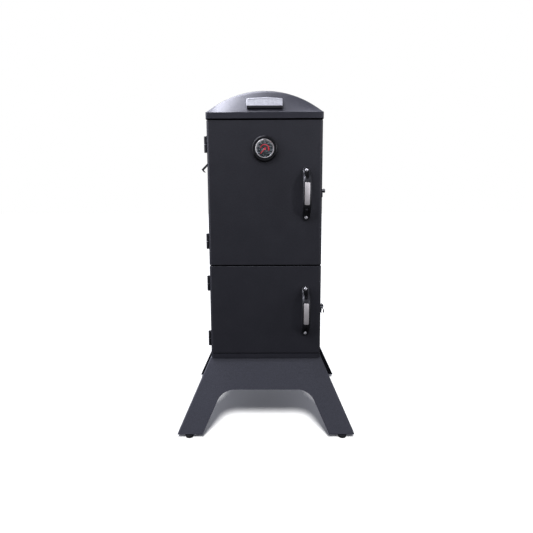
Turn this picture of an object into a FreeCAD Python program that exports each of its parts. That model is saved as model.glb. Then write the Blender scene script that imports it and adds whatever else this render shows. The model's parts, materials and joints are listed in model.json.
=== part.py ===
import FreeCAD, Part
import math
import os
import re
import Sketcher
from FreeCAD import Placement, Rotation, Vector

# Two-door cabinet smoker on splayed leg panels, in millimetres.
# The origin is on the floor under the middle of the cabinet; the doors face -Y and +X is their latch side.

doc = FreeCAD.newDocument("cabinet_smoker")

# ---------------------------------------------------------------- driving dimensions
SIZES = {
    "cab_width": 410, "cab_depth": 415, "gauge": 1.2, "wall": 24, "past": 5,
    "floor_low": 275, "floor_high": 291, "top_plate": 1147, "edge_round": 10,
    "return_flange": 50,
    # doors
    "door_depth": 34, "seal_gap": 4, "run_gap": 0.3,
    "lower_door_low": 293.5, "lower_door_high": 623.5, "upper_door_low": 628, "upper_door_high": 1139.5,
    "lower_open_low": 310, "lower_open_high": 605, "upper_open_low": 655, "upper_open_high": 1118,
    "gasket_inset": 2, "gasket_width": 8,
    # hinges
    "hinge_side": 212, "hinge_front": 172, "knuckle_round": 6.5, "pin_round": 4, "run_fit": 0.05,
    "hinge_half": 28.5, "leaf_reach": 22, "leaf_gauge": 2, "joint_gap": 0.75, "washer_brim": 0.3,
    # roof
    "roof_width": 414, "roof_front": 209.5, "roof_low": 1145, "lip_high": 1165.5, "eave_high": 1177.5,
    "roof_high": 1249, "roof_setback": 50, "roof_gauge": 1.5, "lip_round": 8,
    # badge
    "badge_width": 126, "badge_low": 1187, "badge_high": 1216.5, "badge_crown": 4, "badge_out": 208,
    "badge_lean": 8, "badge_thick": 8, "backing_low": 1180, "backing_inset": 1.5,
    # legs
    "leg_top": 275, "leg_low": 16, "leg_top_half": 208.5, "leg_foot_half": 323.5,
    "leg_top_front": 199.5, "leg_foot_front": 302.5, "leg_gauge": 2.5, "leg_flange": 28,
    "top_flange": 44, "foot_flange": 34, "leg_near": 340, "leg_far": 150,
    "arch_high": 163.8, "arch_top_half": 162.5, "arch_foot_half": 231, "arch_round": 68,
    "foot_side": 281, "foot_front": 286, "foot_round": 15.5, "foot_rim_low": 5, "foot_rim_high": 9,
    "foot_neck": 13, "brace_side": 150, "brace_width": 25, "brace_high": 28, "brace_half": 190,
    "leg_bolt_in": 15, "leg_bolt_back": 28, "leg_bolt_hole": 3.8, "leg_bolt_round": 3.5, "leg_bolt_head": 6.5,
    "nut_round": 6, "nut_high": 5,
    # handles
    "handle_side": 147, "upper_handle_mid": 883.5, "lower_handle_mid": 457.5, "handle_half": 93.5,
    "handle_width": 31, "handle_reach": 60, "bolt_half": 83, "insert_width": 19, "insert_gauge": 1,
    "grip_bolt_hole": 3.4, "grip_bolt_round": 3, "grip_bolt_head": 6, "grip_head_low": 11,
    "grip_head_high": 3.5,
    "grip_seat_round": 7,
    # thermometer
    "thermo_mid": 1040.6, "thermo_round": 45, "ring_round": 33, "dial_round": 28.5, "case_deep": 15,
    "case_corner": 3, "dial_low": 2, "dial_high": 8, "ring_deep": 17, "ring_crown": 1.5, "lens_low": 12,
    "lens_high": 13.5, "stem_round": 3, "stem_hole": 3.6, "stem_long": 95, "spindle_round": 1.45,
    "needle_long": 25, "needle_low": 9.1, "needle_high": 9.9,
    # catches
    "catch_front": 158, "upper_catch_mid": 896, "lower_catch_mid": 463, "catch_reach": 20, "shaft_round": 3.5,
    "base_deep": 6, "base_drop": 24, "base_rise": 6, "base_near": 9, "base_far": 12, "cam_low": 6.4,
    "cam_high": 8.9, "cam_round": 7.5, "cam_half": 6, "cam_tail": 12, "eye_round": 3.8, "lever_high": 13,
    "lever_half": 6, "shaft_cap_low": 13.4, "shaft_cap_high": 15.4, "shaft_cap_round": 6, "stud_round": 2.5,
    "stud_cap_low": 9.3, "stud_cap_high": 10.8, "stud_cap_round": 4.5,
    # racks and pans
    "inside_mid": 8, "rack_first": 720, "rack_step": 95, "ledge_width": 14, "ledge_front": 150,
    "ledge_back": 165, "strip_gauge": 2, "upright_front": 115, "upright_back": 105, "upright_width": 20,
    "upright_margin": 40, "grid_half_width": 172, "grid_half_depth": 158, "frame_wire": 3, "rack_wire": 2,
    "shelf_level": 628, "pan_half_width": 148, "pan_half_depth": 128, "pan_deep": 68, "pan_rim": 5,
    "pan_ends": 8, "well_gap": 2, "vent_gap": 6, "vent_width": 20, "vent_front": 100, "vent_back": 116,
    "rail_level": 400, "rail_width": 18, "basket_half_width": 172, "basket_half_depth": 140,
    "basket_high": 90,
    "slot_half": 4, "slot_step": 22, "slot_margin": 12, "side_slot_step": 24,
    "side_slot_low": 25, "side_slot_high": 20,
    "ash_half_width": 150, "ash_half_depth": 150, "ash_high": 34, "pull_half": 40, "pull_out": 12,
    # dampers
    "exhaust_mid": 1076, "intake_mid": 350, "damper_round": 40, "port_ring": 24, "port_round": 10,
    "duct_inset": 2, "disc_gauge": 2, "tab_half": 9, "tab_out": 15, "damper_bolt": 3, "damper_bolt_head": 7,
    "damper_head_high": 3.5, "damper_bolt_hole": 3.2,
    # bottle opener
    "opener_mid": 147, "opener_half": 19, "opener_low": 953, "opener_high": 1006, "opener_gauge": 2,
    "hood_high": 997.5, "hood_out": 26, "hood_low": 974, "lip_out": 18, "lip_low": 964.5, "screw_level": 959,
    "screw_step": 11, "screw_hole": 2.3, "screw_round": 2, "screw_head": 4, "screw_head_high": 2.6,
}

sheet = doc.addObject("Spreadsheet::Sheet", "Dimensions")
for row, (word, size) in enumerate(SIZES.items(), start=1):
    sheet.set("A%d" % row, word)
    sheet.set("B%d" % row, str(size))
    sheet.setAlias("B%d" % row, word)
doc.recompute()

# Formulas used by many pieces.
HALF = "cab_width / 2"
FRONT = "(0 - cab_depth / 2)"
BACK = "(cab_depth / 2)"
FACE = "(door_depth + seal_gap - cab_depth / 2)"
INNER_X = "(cab_width / 2 - wall)"
INNER_Y = "(cab_depth / 2 - wall)"


# ---------------------------------------------------------------- drawing helpers
def with_sheet(formula):
    """Put the sheet's name before each of its words."""
    def named(hit):
        word = hit.group(0)
        return "Dimensions." + word if word in SIZES else word

    return re.sub(r"[a-z_]+", named, str(formula))


def bind(thing, prop, formula):
    thing.setExpression(prop, with_sheet(formula))


def at(thing, x=None, y=None, z=None):
    """Bind the place of an object to formulas."""
    for axis, formula in (("x", x), ("y", y), ("z", z)):
        if formula is not None:
            bind(thing, "Placement.Base." + axis, formula)
    return thing


def block(name, x, y, z):
    """A box between the low and high formula of each axis."""
    box = doc.addObject("Part::Box", name)
    for side, (low, high) in (("Length", x), ("Width", y), ("Height", z)):
        bind(box, side, "(%s) - (%s)" % (high, low))
    return at(box, x[0], y[0], z[0])


TURNS = {"x": Rotation(Vector(0, 1, 0), 90), "y": Rotation(Vector(1, 0, 0), -90), "z": Rotation()}


def rod(name, along, x, y, z, radius, length):
    """A round bar that starts at x, y, z and runs up the named axis."""
    bar = doc.addObject("Part::Cylinder", name)
    bar.Placement = Placement(Vector(), TURNS[along])
    bind(bar, "Radius", radius)
    bind(bar, "Height", length)
    return at(bar, x, y, z)


def fuse(name, pieces):
    joined = doc.addObject("Part::MultiFuse", name)
    joined.Shapes = pieces
    joined.Refine = True
    return joined


def group(name, pieces):
    """Separate solids kept in one node."""
    held = doc.addObject("Part::Compound", name)
    held.Links = pieces
    return held


def cut(name, base, tools):
    tool = tools[0] if len(tools) == 1 else fuse(name + "_tools", tools)
    left = doc.addObject("Part::Cut", name)
    left.Base = base
    left.Tool = tool
    left.Refine = True
    return left


def common(name, first, second):
    shared = doc.addObject("Part::Common", name)
    shared.Base = first
    shared.Tool = second
    shared.Refine = True
    return shared


def mirrored(name, source, normal):
    twin = doc.addObject("Part::Mirroring", name)
    twin.Source = source
    twin.Base = Vector()
    twin.Normal = normal
    return twin


PLANES = {"xz": Rotation(Vector(1, 0, 0), 90), "yz": Rotation(Vector(1, 1, 1), 120), "xy": Rotation()}
OUTWARD = {"xz": ("y", Vector(0, 1, 0)), "yz": ("x", Vector(1, 0, 0)), "xy": ("z", Vector(0, 0, 1))}


def pin_outline(sketch, points):
    """Close a chain of lines through the points and hold each point by two bound distances."""
    count = len(points)
    corners = [Vector(math.cos(2 * math.pi * i / count), math.sin(2 * math.pi * i / count), 0) * 50
               for i in range(count)]
    for i in range(count):
        sketch.addGeometry(Part.LineSegment(corners[i], corners[(i + 1) % count]), False)
    for i in range(count):
        sketch.addConstraint(Sketcher.Constraint("Coincident", i, 2, (i + 1) % count, 1))
    for i, point in enumerate(points):
        for kind, formula in zip(("DistanceX", "DistanceY"), point):
            index = sketch.addConstraint(Sketcher.Constraint(kind, -1, 1, i, 1, 10.0 + i))
            sketch.setExpression("Constraints[%d]" % index, with_sheet(formula))


def prism(name, plane, points, low, high):
    """An outline drawn on a plane and pushed along that plane's normal from low to high."""
    sketch = doc.addObject("Sketcher::SketchObject", name + "_outline")
    sketch.Placement = Placement(Vector(), PLANES[plane])
    pin_outline(sketch, points)
    axis, direction = OUTWARD[plane]
    bind(sketch, "Placement.Base." + axis, low)
    solid = doc.addObject("Part::Extrusion", name)
    solid.Base = sketch
    solid.DirMode = "Custom"
    solid.Dir = direction
    bind(solid, "LengthFwd", "(%s) - (%s)" % (high, low))
    solid.Solid = True
    return solid


def turned(name, profile):
    """A body turned about its own Z axis from a half profile of (radius, height) points."""
    body = doc.addObject("PartDesign::Body", name)
    plane = [item for item in body.Origin.OriginFeatures if item.Role == "XZ_Plane"][0]
    sketch = body.newObject("Sketcher::SketchObject", name + "_profile")
    sketch.AttachmentSupport = (plane, [""])
    sketch.MapMode = "FlatFace"
    pin_outline(sketch, profile)
    spin = body.newObject("PartDesign::Revolution", name + "_turn")
    spin.Profile = sketch
    spin.ReferenceAxis = (sketch, ["V_Axis"])
    spin.Angle = 360
    body.Tip = spin
    return body


def facing_front(body):
    """Lay a turned body's axis along -Y, so its height grows towards the front."""
    body.Placement = Placement(Vector(), Rotation(Vector(1, 0, 0), 90))
    return body


def rounded(name, base, radius, pick):
    """Round the edges of base that pick accepts."""
    doc.recompute()
    smooth = doc.addObject("Part::Fillet", name)
    smooth.Base = base
    smooth.Edges = [(i, radius, radius) for i, edge in enumerate(base.Shape.Edges, start=1) if pick(edge)]
    return smooth


def upright_front(edge):
    """True for a vertical edge in the front half."""
    ends = edge.BoundBox
    return ends.XLength < 0.01 and ends.YLength < 0.01 and ends.YMax < 0


def lengthwise(edge):
    """True for an edge that runs along X."""
    ends = edge.BoundBox
    return ends.YLength < 0.01 and ends.ZLength < 0.01


NODES = []


def node(name, thing):
    """Name the finished piece; its label is the name of its file."""
    thing.Label = name
    NODES.append(thing)
    return thing


# ---------------------------------------------------------------- cabinet
PORT_TURNS = (0, 90, 180, 270)


def opener_holes(name):
    """The two screw holes of the bottle opener, through its plate and the left side panel."""
    return [rod("%s_screw_hole_%d" % (name, i), "x", "0 - %s - past" % HALF,
                "%d * screw_step - opener_mid" % i, "screw_level", "screw_hole", "2 * past") for i in (-1, 1)]


def port_ring_holes(word):
    """Four air ports in a ring about the middle of a damper."""
    holes = []
    for turn in PORT_TURNS:
        holes.append(rod("%s_port_%d" % (word, turn), "y", "port_ring * cos(%d)" % turn, BACK + " - past",
                         "%s + port_ring * sin(%d)" % (word, turn), "port_round", "2 * past"))
    return holes


def cabinet():
    inside = "%s + gauge" % FACE
    walls = (("left", "0 - %s" % HALF, "0 - %s + gauge" % HALF), ("right", "%s - gauge" % HALF, HALF))
    for side, low, high in walls:
        panel = block(side + "_side", (low, high), (inside, BACK + " - gauge"), ("floor_high", "top_plate"))
        if side == "left":
            panel = cut("left_drilled", panel, opener_holes("side"))
        node(side + "_side_panel", panel)
    sheets = (("left", "0 - %s - gauge" % INNER_X, "0 - %s" % INNER_X),
              ("right", INNER_X, "%s + gauge" % INNER_X))
    linings = [block(side + "_lining", (low, high), (inside, INNER_Y), ("floor_high", "top_plate"))
               for side, low, high in sheets]
    node("side_liners", group("linings", linings))
    back = block("back_sheet", ("0 - %s" % HALF, HALF), (BACK + " - gauge", BACK),
                 ("floor_high", "top_plate"))
    ports = []
    for word in ("exhaust_mid", "intake_mid"):
        ports.append(rod(word + "_bolt_hole", "y", "0", BACK + " - past", word, "damper_bolt_hole",
                         "2 * past"))
        ports += port_ring_holes(word)
    node("back_panel", cut("back", back, ports))
    lining = block("back_lining", ("0 - %s - gauge" % INNER_X, "%s + gauge" % INNER_X),
                   (INNER_Y, INNER_Y + " + gauge"), ("floor_high", "top_plate"))
    ducts = [rod(word + "_duct", "y", "0", INNER_Y + " - past", word, "damper_round - duct_inset", "2 * past")
             for word in ("exhaust_mid", "intake_mid")]
    node("back_liner", cut("back_liner_cut", lining, ducts))
    frame = block("frame_sheet", ("0 - %s" % HALF, HALF), (FACE, inside), ("floor_high", "top_plate"))
    doorways = [block("%s_doorway" % which, ("0 - " + INNER_X, INNER_X), (FACE + " - past", FACE + " + past"),
                      (which + "_open_low", which + "_open_high")) for which in ("lower", "upper")]
    node("face_frame", cut("frame", frame, doorways))
    top = block("top", ("0 - %s" % HALF, HALF), (FRONT, BACK), ("top_plate", "top_plate + gauge"))
    node("top_panel", rounded("top_rounded", top, SIZES["edge_round"], upright_front))


def floor_pan():
    whole = block("floor_block", ("0 - %s" % HALF, HALF), (FRONT, BACK), ("floor_low", "floor_high"))
    shell = rounded("floor_shell", whole, SIZES["edge_round"], upright_front)
    space = block("floor_space", ("0 - %s + gauge" % HALF, HALF + " - gauge"),
                  (FRONT + " + gauge", BACK + " - gauge"), ("floor_low + gauge", "floor_high - gauge"))
    hollow = rounded("floor_hollow", space, SIZES["edge_round"] - SIZES["gauge"], upright_front)
    window = block("floor_window", ("0 - %s + return_flange" % HALF, HALF + " - return_flange"),
                   (FRONT + " + return_flange", BACK + " - return_flange"),
                   ("floor_low - past", "floor_low + past"))
    holes = []
    for i, j, x, y in leg_bolt_places():
        holes.append(rod("floor_hole_%d%d" % (i, j), "z", x, y, "floor_low - past", "leg_bolt_hole",
                         "2 * past"))
    node("floor_pan", cut("floor_pan_cut", shell, [hollow, window] + holes))


def leg_bolt_places():
    """The four bolts that hold the leg panels to the floor pan, as signs and places."""
    return [(i, j, "%d * (%s - leg_bolt_in)" % (i, HALF), "%d * (%s - leg_bolt_back)" % (j, BACK))
            for i in (-1, 1) for j in (-1, 1)]


def roof_section(name, y, half, low, side, crown):
    """The roof's outline across X: a bottom line, two short sides, and a flat lip or an arch over them."""
    wide, deep, high = SIZES["roof_width"] / 2, SIZES["roof_low"], SIZES["eave_high"]
    corners = [Vector(-wide, deep, 0), Vector(wide, deep, 0), Vector(wide, high, 0), Vector(-wide, high, 0)]
    sketch = doc.addObject("Sketcher::SketchObject", name)
    sketch.Placement = Placement(Vector(), PLANES["xz"])
    bind(sketch, "Placement.Base.y", y)
    for i in (0, 1, 3):
        sketch.addGeometry(Part.LineSegment(corners[i], corners[(i + 1) % 4]), False)
    over = Part.LineSegment(corners[2], corners[3])
    if crown:
        over = Part.Arc(corners[2], Vector(0, SIZES["roof_high"], 0), corners[3])
    sketch.addGeometry(over, False)
    # Lines 0, 1 and 2 are the bottom and the sides; 3 is the lip or arch, drawn from right to left.
    for join in ((0, 2, 1, 1), (1, 2, 3, 1), (3, 2, 2, 1), (2, 2, 0, 1)):
        sketch.addConstraint(Sketcher.Constraint("Coincident", *join))
    held = ((0, 1, "0 - " + half, low), (1, 1, half, low), (3, 1, half, side), (3, 2, "0 - " + half, side))
    for (line, end, x, z), corner in zip(held, corners):
        for kind, formula, start in (("DistanceX", x, corner.x), ("DistanceY", z, corner.y)):
            index = sketch.addConstraint(Sketcher.Constraint(kind, -1, 1, line, end, start))
            sketch.setExpression("Constraints[%d]" % index, with_sheet(formula))
    if crown:
        rise = SIZES["roof_high"] - high
        index = sketch.addConstraint(Sketcher.Constraint("Radius", 3, (wide ** 2 + rise ** 2) / (2 * rise)))
        climb = "(roof_high - eave_high)"
        sketch.setExpression("Constraints[%d]" % index,
                             with_sheet("(%s ^ 2 + %s ^ 2) / (2 * %s)" % (half, climb, climb)))
    return sketch


def roof_solid(name, inset):
    """The roof filled in: a front that rises from its straight lip to the arch of the barrel behind it."""
    half = "(roof_width / 2 - %s)" % inset
    low = "(roof_low - 2 * %s)" % inset
    front = "(%s - roof_front)" % inset
    lip = roof_section(name + "_lip", front, half, low, "(lip_high - %s)" % inset, False)
    arch = roof_section(name + "_arch", front + " + roof_setback", half, low,
                        "(eave_high - %s)" % inset, True)
    visor = doc.addObject("Part::Loft", name + "_visor")
    visor.Sections = [lip, arch]
    visor.Solid = True
    visor.Ruled = True
    barrel = doc.addObject("Part::Extrusion", name + "_barrel")
    barrel.Base = arch
    barrel.DirMode = "Custom"
    barrel.Dir = Vector(0, 1, 0)
    barrel.Solid = True
    bind(barrel, "LengthFwd", "2 * roof_front - roof_setback - 2 * %s" % inset)
    plan = block(name + "_plan_block", ("0 - " + half, half), (front, "roof_front - %s" % inset),
                 (low, "roof_high + past"))
    corner = SIZES["lip_round"] - (SIZES["roof_gauge"] if inset == "roof_gauge" else 0)
    return common(name + "_cap", fuse(name + "_whole", [visor, barrel]),
                  rounded(name + "_plan", plan, corner, upright_front))


def roof():
    outer = roof_solid("outer", "0")
    node("roof_cap", cut("roof", outer, [roof_solid("inner", "roof_gauge")]))
    badge(outer)


def crowned(name, inset, low):
    """A block as wide as the badge less the inset, with a crowned top, from front to back of the visor."""
    half, high = "(badge_width / 2 - %s)" % inset, "(badge_high - %s)" % inset
    crown = ((1, 1), (0.6, 0.3), (0.25, 0))
    right = [("%s * %s" % (out, half), "%s - %s * badge_crown" % (high, drop)) for out, drop in crown]
    left = [("0 - " + x, z) for x, z in right[::-1]]
    return prism(name, "xz", [("0 - " + half, low), (half, low)] + right + left,
                 "0 - roof_front", "roof_setback - roof_front")


def badge(roof_blank):
    """A blank plate on a block that stands on the sloping front of the roof."""
    near, far = "(0 - badge_out)", "(badge_thick - badge_out)"
    plate = prism("badge_side", "yz", ((near, "badge_low"), (near + " + badge_lean", "badge_high"),
                                       (far + " + badge_lean", "badge_high"), (far, "badge_low")),
                  "0 - badge_width / 2", "badge_width / 2")
    node("badge_plate", common("badge", plate, crowned("badge_front", "0", "badge_low")))
    body = prism("backing_side", "yz", ((near, "backing_low"), (near, "badge_low"), (far, "badge_low"),
                                        (far + " + badge_lean", "badge_high"),
                                        ("roof_setback - roof_front", "badge_high"),
                                        ("roof_setback - roof_front", "backing_low")),
                 "0 - badge_width / 2", "badge_width / 2")
    block_shape = common("backing_blank", body, crowned("backing_front", "backing_inset", "backing_low"))
    node("badge_backing", cut("backing", block_shape, [roof_blank]))


# ---------------------------------------------------------------- base
def legs():
    """Bent panels that splay forwards, backwards and sideways, with an arch between the two legs."""
    slope = "((leg_foot_front - leg_top_front) / (leg_top - leg_low))"
    lean = "sqrt(1 + %s ^ 2)" % slope
    thick = "(leg_gauge * %s)" % lean
    top_y, foot_y = "(0 - leg_top_front)", "(0 - leg_foot_front)"
    inner_top_y = "(%s + %s - leg_gauge * %s)" % (top_y, thick, slope)
    inner_foot_y = "(%s + %s + leg_gauge * %s)" % (foot_y, thick, slope)
    bent = prism("leg_bend", "yz", ((foot_y, "leg_low"), (top_y, "leg_top"),
                                    (top_y + " + top_flange", "leg_top"),
                                    (top_y + " + top_flange", "leg_top - leg_gauge"),
                                    (inner_top_y, "leg_top - leg_gauge"),
                                    (inner_foot_y, "leg_low + leg_gauge"),
                                    (foot_y + " + foot_flange", "leg_low + leg_gauge"),
                                    (foot_y + " + foot_flange", "leg_low")),
                 "0 - leg_foot_half", "leg_foot_half")
    front = prism("leg_outline", "xz", (("0 - leg_foot_half", "leg_low"), ("0 - leg_top_half", "leg_top"),
                                        ("leg_top_half", "leg_top"), ("leg_foot_half", "leg_low")),
                  "0 - leg_near", "0 - leg_far")
    rise = "(arch_high - leg_low)"
    drift = "((arch_foot_half - arch_top_half) / %s)" % rise
    # The arch has a flat top; each upper corner is a round that touches the top and the leaning side.
    spread = "sqrt(1 + %s ^ 2)" % drift
    reach = "(arch_round * (%s - %s))" % (spread, drift)
    mid_x = "(arch_top_half - %s)" % reach
    mid_z = "(arch_high - arch_round)"
    touch_x = "(%s + arch_round / %s)" % (mid_x, spread)
    touch_z = "(%s + arch_round * %s / %s)" % (mid_z, drift, spread)
    arch = prism("arch_middle", "xz", (("0 - arch_foot_half - past * %s" % drift, "leg_low - past"),
                                       ("0 - " + touch_x, touch_z), ("0 - " + mid_x, "arch_high"),
                                       (mid_x, "arch_high"), (touch_x, touch_z),
                                       ("arch_foot_half + past * %s" % drift, "leg_low - past")),
                 "0 - leg_near - past", "past - leg_far")
    rounds = [rod("arch_round_%d" % i, "y", "%d * %s" % (i, mid_x), "0 - leg_near - past", mid_z,
                  "arch_round", "leg_near - leg_far + 2 * past") for i in (-1, 1)]
    holes = [rod("flange_hole_%d" % i, "z", x, y, "leg_top - past", "leg_bolt_hole", "2 * past")
             for i, j, x, y in leg_bolt_places() if j < 0]
    face = cut("leg_face", common("leg_sheet", bent, front), [arch] + rounds + holes)
    edge_run = "((leg_foot_half - leg_top_half) / (leg_top - leg_low))"
    edge = "(leg_gauge * sqrt(1 + %s ^ 2))" % edge_run
    band = prism("leg_side_band", "yz", ((foot_y, "leg_low"), (top_y, "leg_top"),
                                         (top_y + " + leg_flange", "leg_top"),
                                         (foot_y + " + leg_flange", "leg_low")),
                 "0 - leg_foot_half - past", "leg_foot_half + past")
    strips = []
    for name, sign in (("left", "0 - "), ("right", "")):
        strips.append(prism(name + "_leg_strip", "xz",
                            ((sign + "leg_foot_half", "leg_low"), (sign + "leg_top_half", "leg_top"),
                             ("%s(leg_top_half - %s)" % (sign, edge), "leg_top"),
                             ("%s(leg_foot_half - %s)" % (sign, edge), "leg_low")),
                            "0 - leg_near", "0 - leg_far"))
    flanges = common("leg_flanges", band, fuse("leg_strips", strips))
    panel = node("front_leg_panel", fuse("front_leg", [face, flanges]))
    node("rear_leg_panel", mirrored("rear_leg", panel, Vector(0, 1, 0)))
    braces = []
    for i, low in ((-1, "0 - brace_side - brace_width"), (1, "brace_side")):
        high = "(%s) + brace_width" % low
        bar = block("brace_bar_%d" % i, (low, high), ("0 - brace_half", "brace_half"),
                    ("leg_top - leg_gauge - brace_high", "leg_top - leg_gauge"))
        space = block("brace_space_%d" % i, ("(%s) + leg_gauge" % low, "(%s) - leg_gauge" % high),
                      ("0 - brace_half - past", "brace_half + past"),
                      ("leg_top - leg_gauge - brace_high - past", "leg_top - 2 * leg_gauge"))
        braces.append(cut("brace_%d" % i, bar, [space]))
    node("leg_braces", group("braces", braces))
    feet = []
    for i, j in ((-1, -1), (1, -1), (-1, 1), (1, 1)):
        foot = turned("glide_%d%d" % (i, j), (
            ("0", "0"), ("foot_round - foot_rim_low", "0"), ("foot_round", "foot_rim_low"),
            ("foot_round", "foot_rim_high"), ("foot_round * 0.8", "foot_neck"),
            ("foot_round * 0.6", "leg_low"), ("0", "leg_low")))
        feet.append(at(foot, "%d * foot_side" % i, "%d * foot_front" % j, "0"))
    node("glide_feet", group("feet", feet))
    bolts = []
    for i, j, x, y in leg_bolt_places():
        shank = rod("leg_shank_%d%d" % (i, j), "z", x, y, "leg_top - leg_gauge - 1", "leg_bolt_round",
                    "leg_gauge + gauge + 2 * nut_high")
        head = rod("leg_head_%d%d" % (i, j), "z", x, y, "leg_top - leg_gauge - nut_high", "leg_bolt_head",
                   "nut_high")
        nut = rod("leg_nut_%d%d" % (i, j), "z", x, y, "floor_low + gauge", "nut_round", "nut_high")
        bolts.append(fuse("leg_bolt_%d%d" % (i, j), [shank, head, nut]))
    node("leg_bolts", group("leg_bolt_set", bolts))


# ---------------------------------------------------------------- doors
def hinge_leaves(name, joints, z_low, z_high, y_low, y_high, bored):
    """One leaf with its knuckle at each hinge height; the bored ones drop over the pins."""
    axis = ("0 - hinge_side", "0 - hinge_front")
    leaves = []
    for joint in joints:
        low, high = "%s + %s" % (joint, z_low), "%s + %s" % (joint, z_high)
        knuckle = rod("%s_knuckle_%d" % (name, joint), "z", *axis, low, "knuckle_round",
                      "(%s) - (%s)" % (high, low))
        plate = block("%s_leaf_%d" % (name, joint), ("0 - %s - leaf_gauge" % HALF, "0 - %s" % HALF),
                      (y_low, y_high), (low, high))
        if bored:
            bore = rod("%s_bore_%d" % (name, joint), "z", *axis, "(%s) - past" % low,
                       "pin_round + run_fit", "(%s) - (%s) + 2 * past" % (high, low))
            leaves.append(cut("%s_half_%d" % (name, joint), fuse("%s_blank_%d" % (name, joint),
                                                                 [knuckle, plate]), [bore]))
        else:
            pin = rod("%s_pin_%d" % (name, joint), "z", *axis, low, "pin_round", "2 * hinge_half - 2")
            leaves.append(fuse("%s_half_%d" % (name, joint), [knuckle, plate, pin]))
    node(name, group(name + "_set", leaves))


UPPER_JOINTS = (1061, 713)
LOWER_JOINTS = (555, 342)


def hinges():
    hinge_leaves("cabinet_hinge_leaves", UPPER_JOINTS + LOWER_JOINTS, "0 - hinge_half", "0 - joint_gap",
                 "0 - hinge_front", "leaf_reach - hinge_front", False)
    for which, joints in (("upper", UPPER_JOINTS), ("lower", LOWER_JOINTS)):
        hinge_leaves(which + "_door_hinge_leaves", joints, "joint_gap", "hinge_half",
                     "0 - hinge_front - leaf_reach", "0 - hinge_front", True)
    washers = []
    for joint in UPPER_JOINTS + LOWER_JOINTS:
        ring = rod("washer_ring_%d" % joint, "z", "0 - hinge_side", "0 - hinge_front",
                   "%d - joint_gap" % joint, "knuckle_round + washer_brim",
                   "joint_gap * 1.6")
        hole = rod("washer_hole_%d" % joint, "z", "0 - hinge_side", "0 - hinge_front",
                   "%d - past" % joint, "pin_round + run_fit", "2 * past")
        washers.append(cut("washer_%d" % joint, ring, [hole]))
    node("hinge_washers", group("washers", washers))


def door(which, stem_holes):
    low, high = which + "_door_low", which + "_door_high"
    back = FRONT + " + door_depth"
    whole = block(which + "_block", ("0 - %s" % HALF, HALF), (FRONT, back), (low, high))
    body = rounded(which + "_shell", whole, SIZES["edge_round"], upright_front)
    space = rounded(which + "_hollow", block(which + "_space", ("0 - %s + gauge" % HALF, HALF + " - gauge"),
                                             (FRONT + " + gauge", back + " + 1"),
                                             (low + " + gauge", high + " - gauge")),
                    SIZES["edge_round"] - SIZES["gauge"], upright_front)
    mid = which + "_handle_mid"
    bolts = [rod("%s_bolt_hole_%d" % (which, i), "y", "handle_side", FRONT + " - past",
                 "%s + %d * bolt_half" % (mid, i), "grip_bolt_hole", "2 * past") for i in (-1, 1)]
    node(which + "_door_skin", cut(which + "_skin", body, [space] + bolts + stem_holes("skin")))
    lining = block(which + "_door_lining", ("0 - %s + gauge" % HALF, HALF + " - gauge"),
                   (back + " - gauge", back), (low + " + gauge", high + " - gauge"))
    holes = stem_holes("liner")
    node(which + "_door_liner", cut(which + "_lining_cut", lining, holes) if holes else lining)
    rings = []
    for ring, extra in (("outer", "gasket_inset + gasket_width"), ("inner", "gasket_inset")):
        slack = "0" if ring == "outer" else "1"
        rings.append(block("%s_gasket_%s" % (which, ring),
                           ("0 - %s - (%s)" % (INNER_X, extra), "%s + %s" % (INNER_X, extra)),
                           ("%s - %s" % (back, slack), "%s - run_gap + %s" % (FACE, slack)),
                           ("%s_open_low - (%s)" % (which, extra), "%s_open_high + %s" % (which, extra))))
    node(which + "_door_gasket", cut(which + "_gasket", rings[0], [rings[1]]))


# Bow of a handle as parts of its reach off the door and of its half length, each from top to middle.
BOW_FRONT = ((0.0, 1.0), (0.21, 1.0), (0.25, 0.83), (0.72, 0.64), (0.94, 0.43), (1.0, 0.0))
BOW_BACK = ((0.0, 0.68), (0.48, 0.47), (0.70, 0.27), (0.74, 0.0))


def both_ways(points):
    """A half outline that ends at the middle, carried on to its mirror image below."""
    return points + tuple((away, 0 - up) for away, up in points[-2::-1])


def handle(which):
    mid = which + "_handle_mid"

    def bow(points, lift="0"):
        return [("%s - %s * handle_reach + %s" % (FRONT, away, lift), "%s + %s * handle_half" % (mid, up))
                for away, up in points]

    outline = bow(both_ways(BOW_FRONT)) + bow(both_ways(BOW_BACK)[::-1])
    half = "handle_width / 2"
    blank = prism(which + "_bow", "yz", outline, "handle_side - " + half, "handle_side + " + half)
    holes, bolts = [], []
    for i in (-1, 1):
        z = "%s + %d * bolt_half" % (mid, i)
        head_y = FRONT + " - grip_head_low - grip_head_high"
        holes.append(rod("%s_grip_hole_%d" % (which, i), "y", "handle_side", FRONT + " - handle_reach", z,
                         "grip_bolt_hole", "handle_reach + past"))
        holes.append(rod("%s_grip_seat_%d" % (which, i), "y", "handle_side", FRONT + " - handle_reach", z,
                         "grip_seat_round", "handle_reach - grip_head_low"))
        shank = rod("%s_shank_%d" % (which, i), "y", "handle_side", head_y, z, "grip_bolt_round",
                    "grip_head_low + grip_head_high + gauge + nut_high + 1")
        head = rod("%s_head_%d" % (which, i), "y", "handle_side", head_y, z, "grip_bolt_head",
                   "grip_head_high")
        nut = rod("%s_nut_%d" % (which, i), "y", "handle_side", FRONT + " + gauge", z, "grip_bolt_head",
                  "nut_high")
        bolts.append(fuse("%s_bolt_%d" % (which, i), [shank, head, nut]))
    node(which + "_door_handle", cut(which + "_handle", blank, holes))
    node(which + "_handle_bolts", group(which + "_bolts", bolts))
    face = both_ways(BOW_FRONT[-2:])
    cover = bow(face, "0 - insert_gauge") + bow(face[::-1])
    node(which + "_handle_insert", prism(which + "_insert", "yz", cover, "handle_side - insert_width / 2",
                                         "handle_side + insert_width / 2"))


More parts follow.
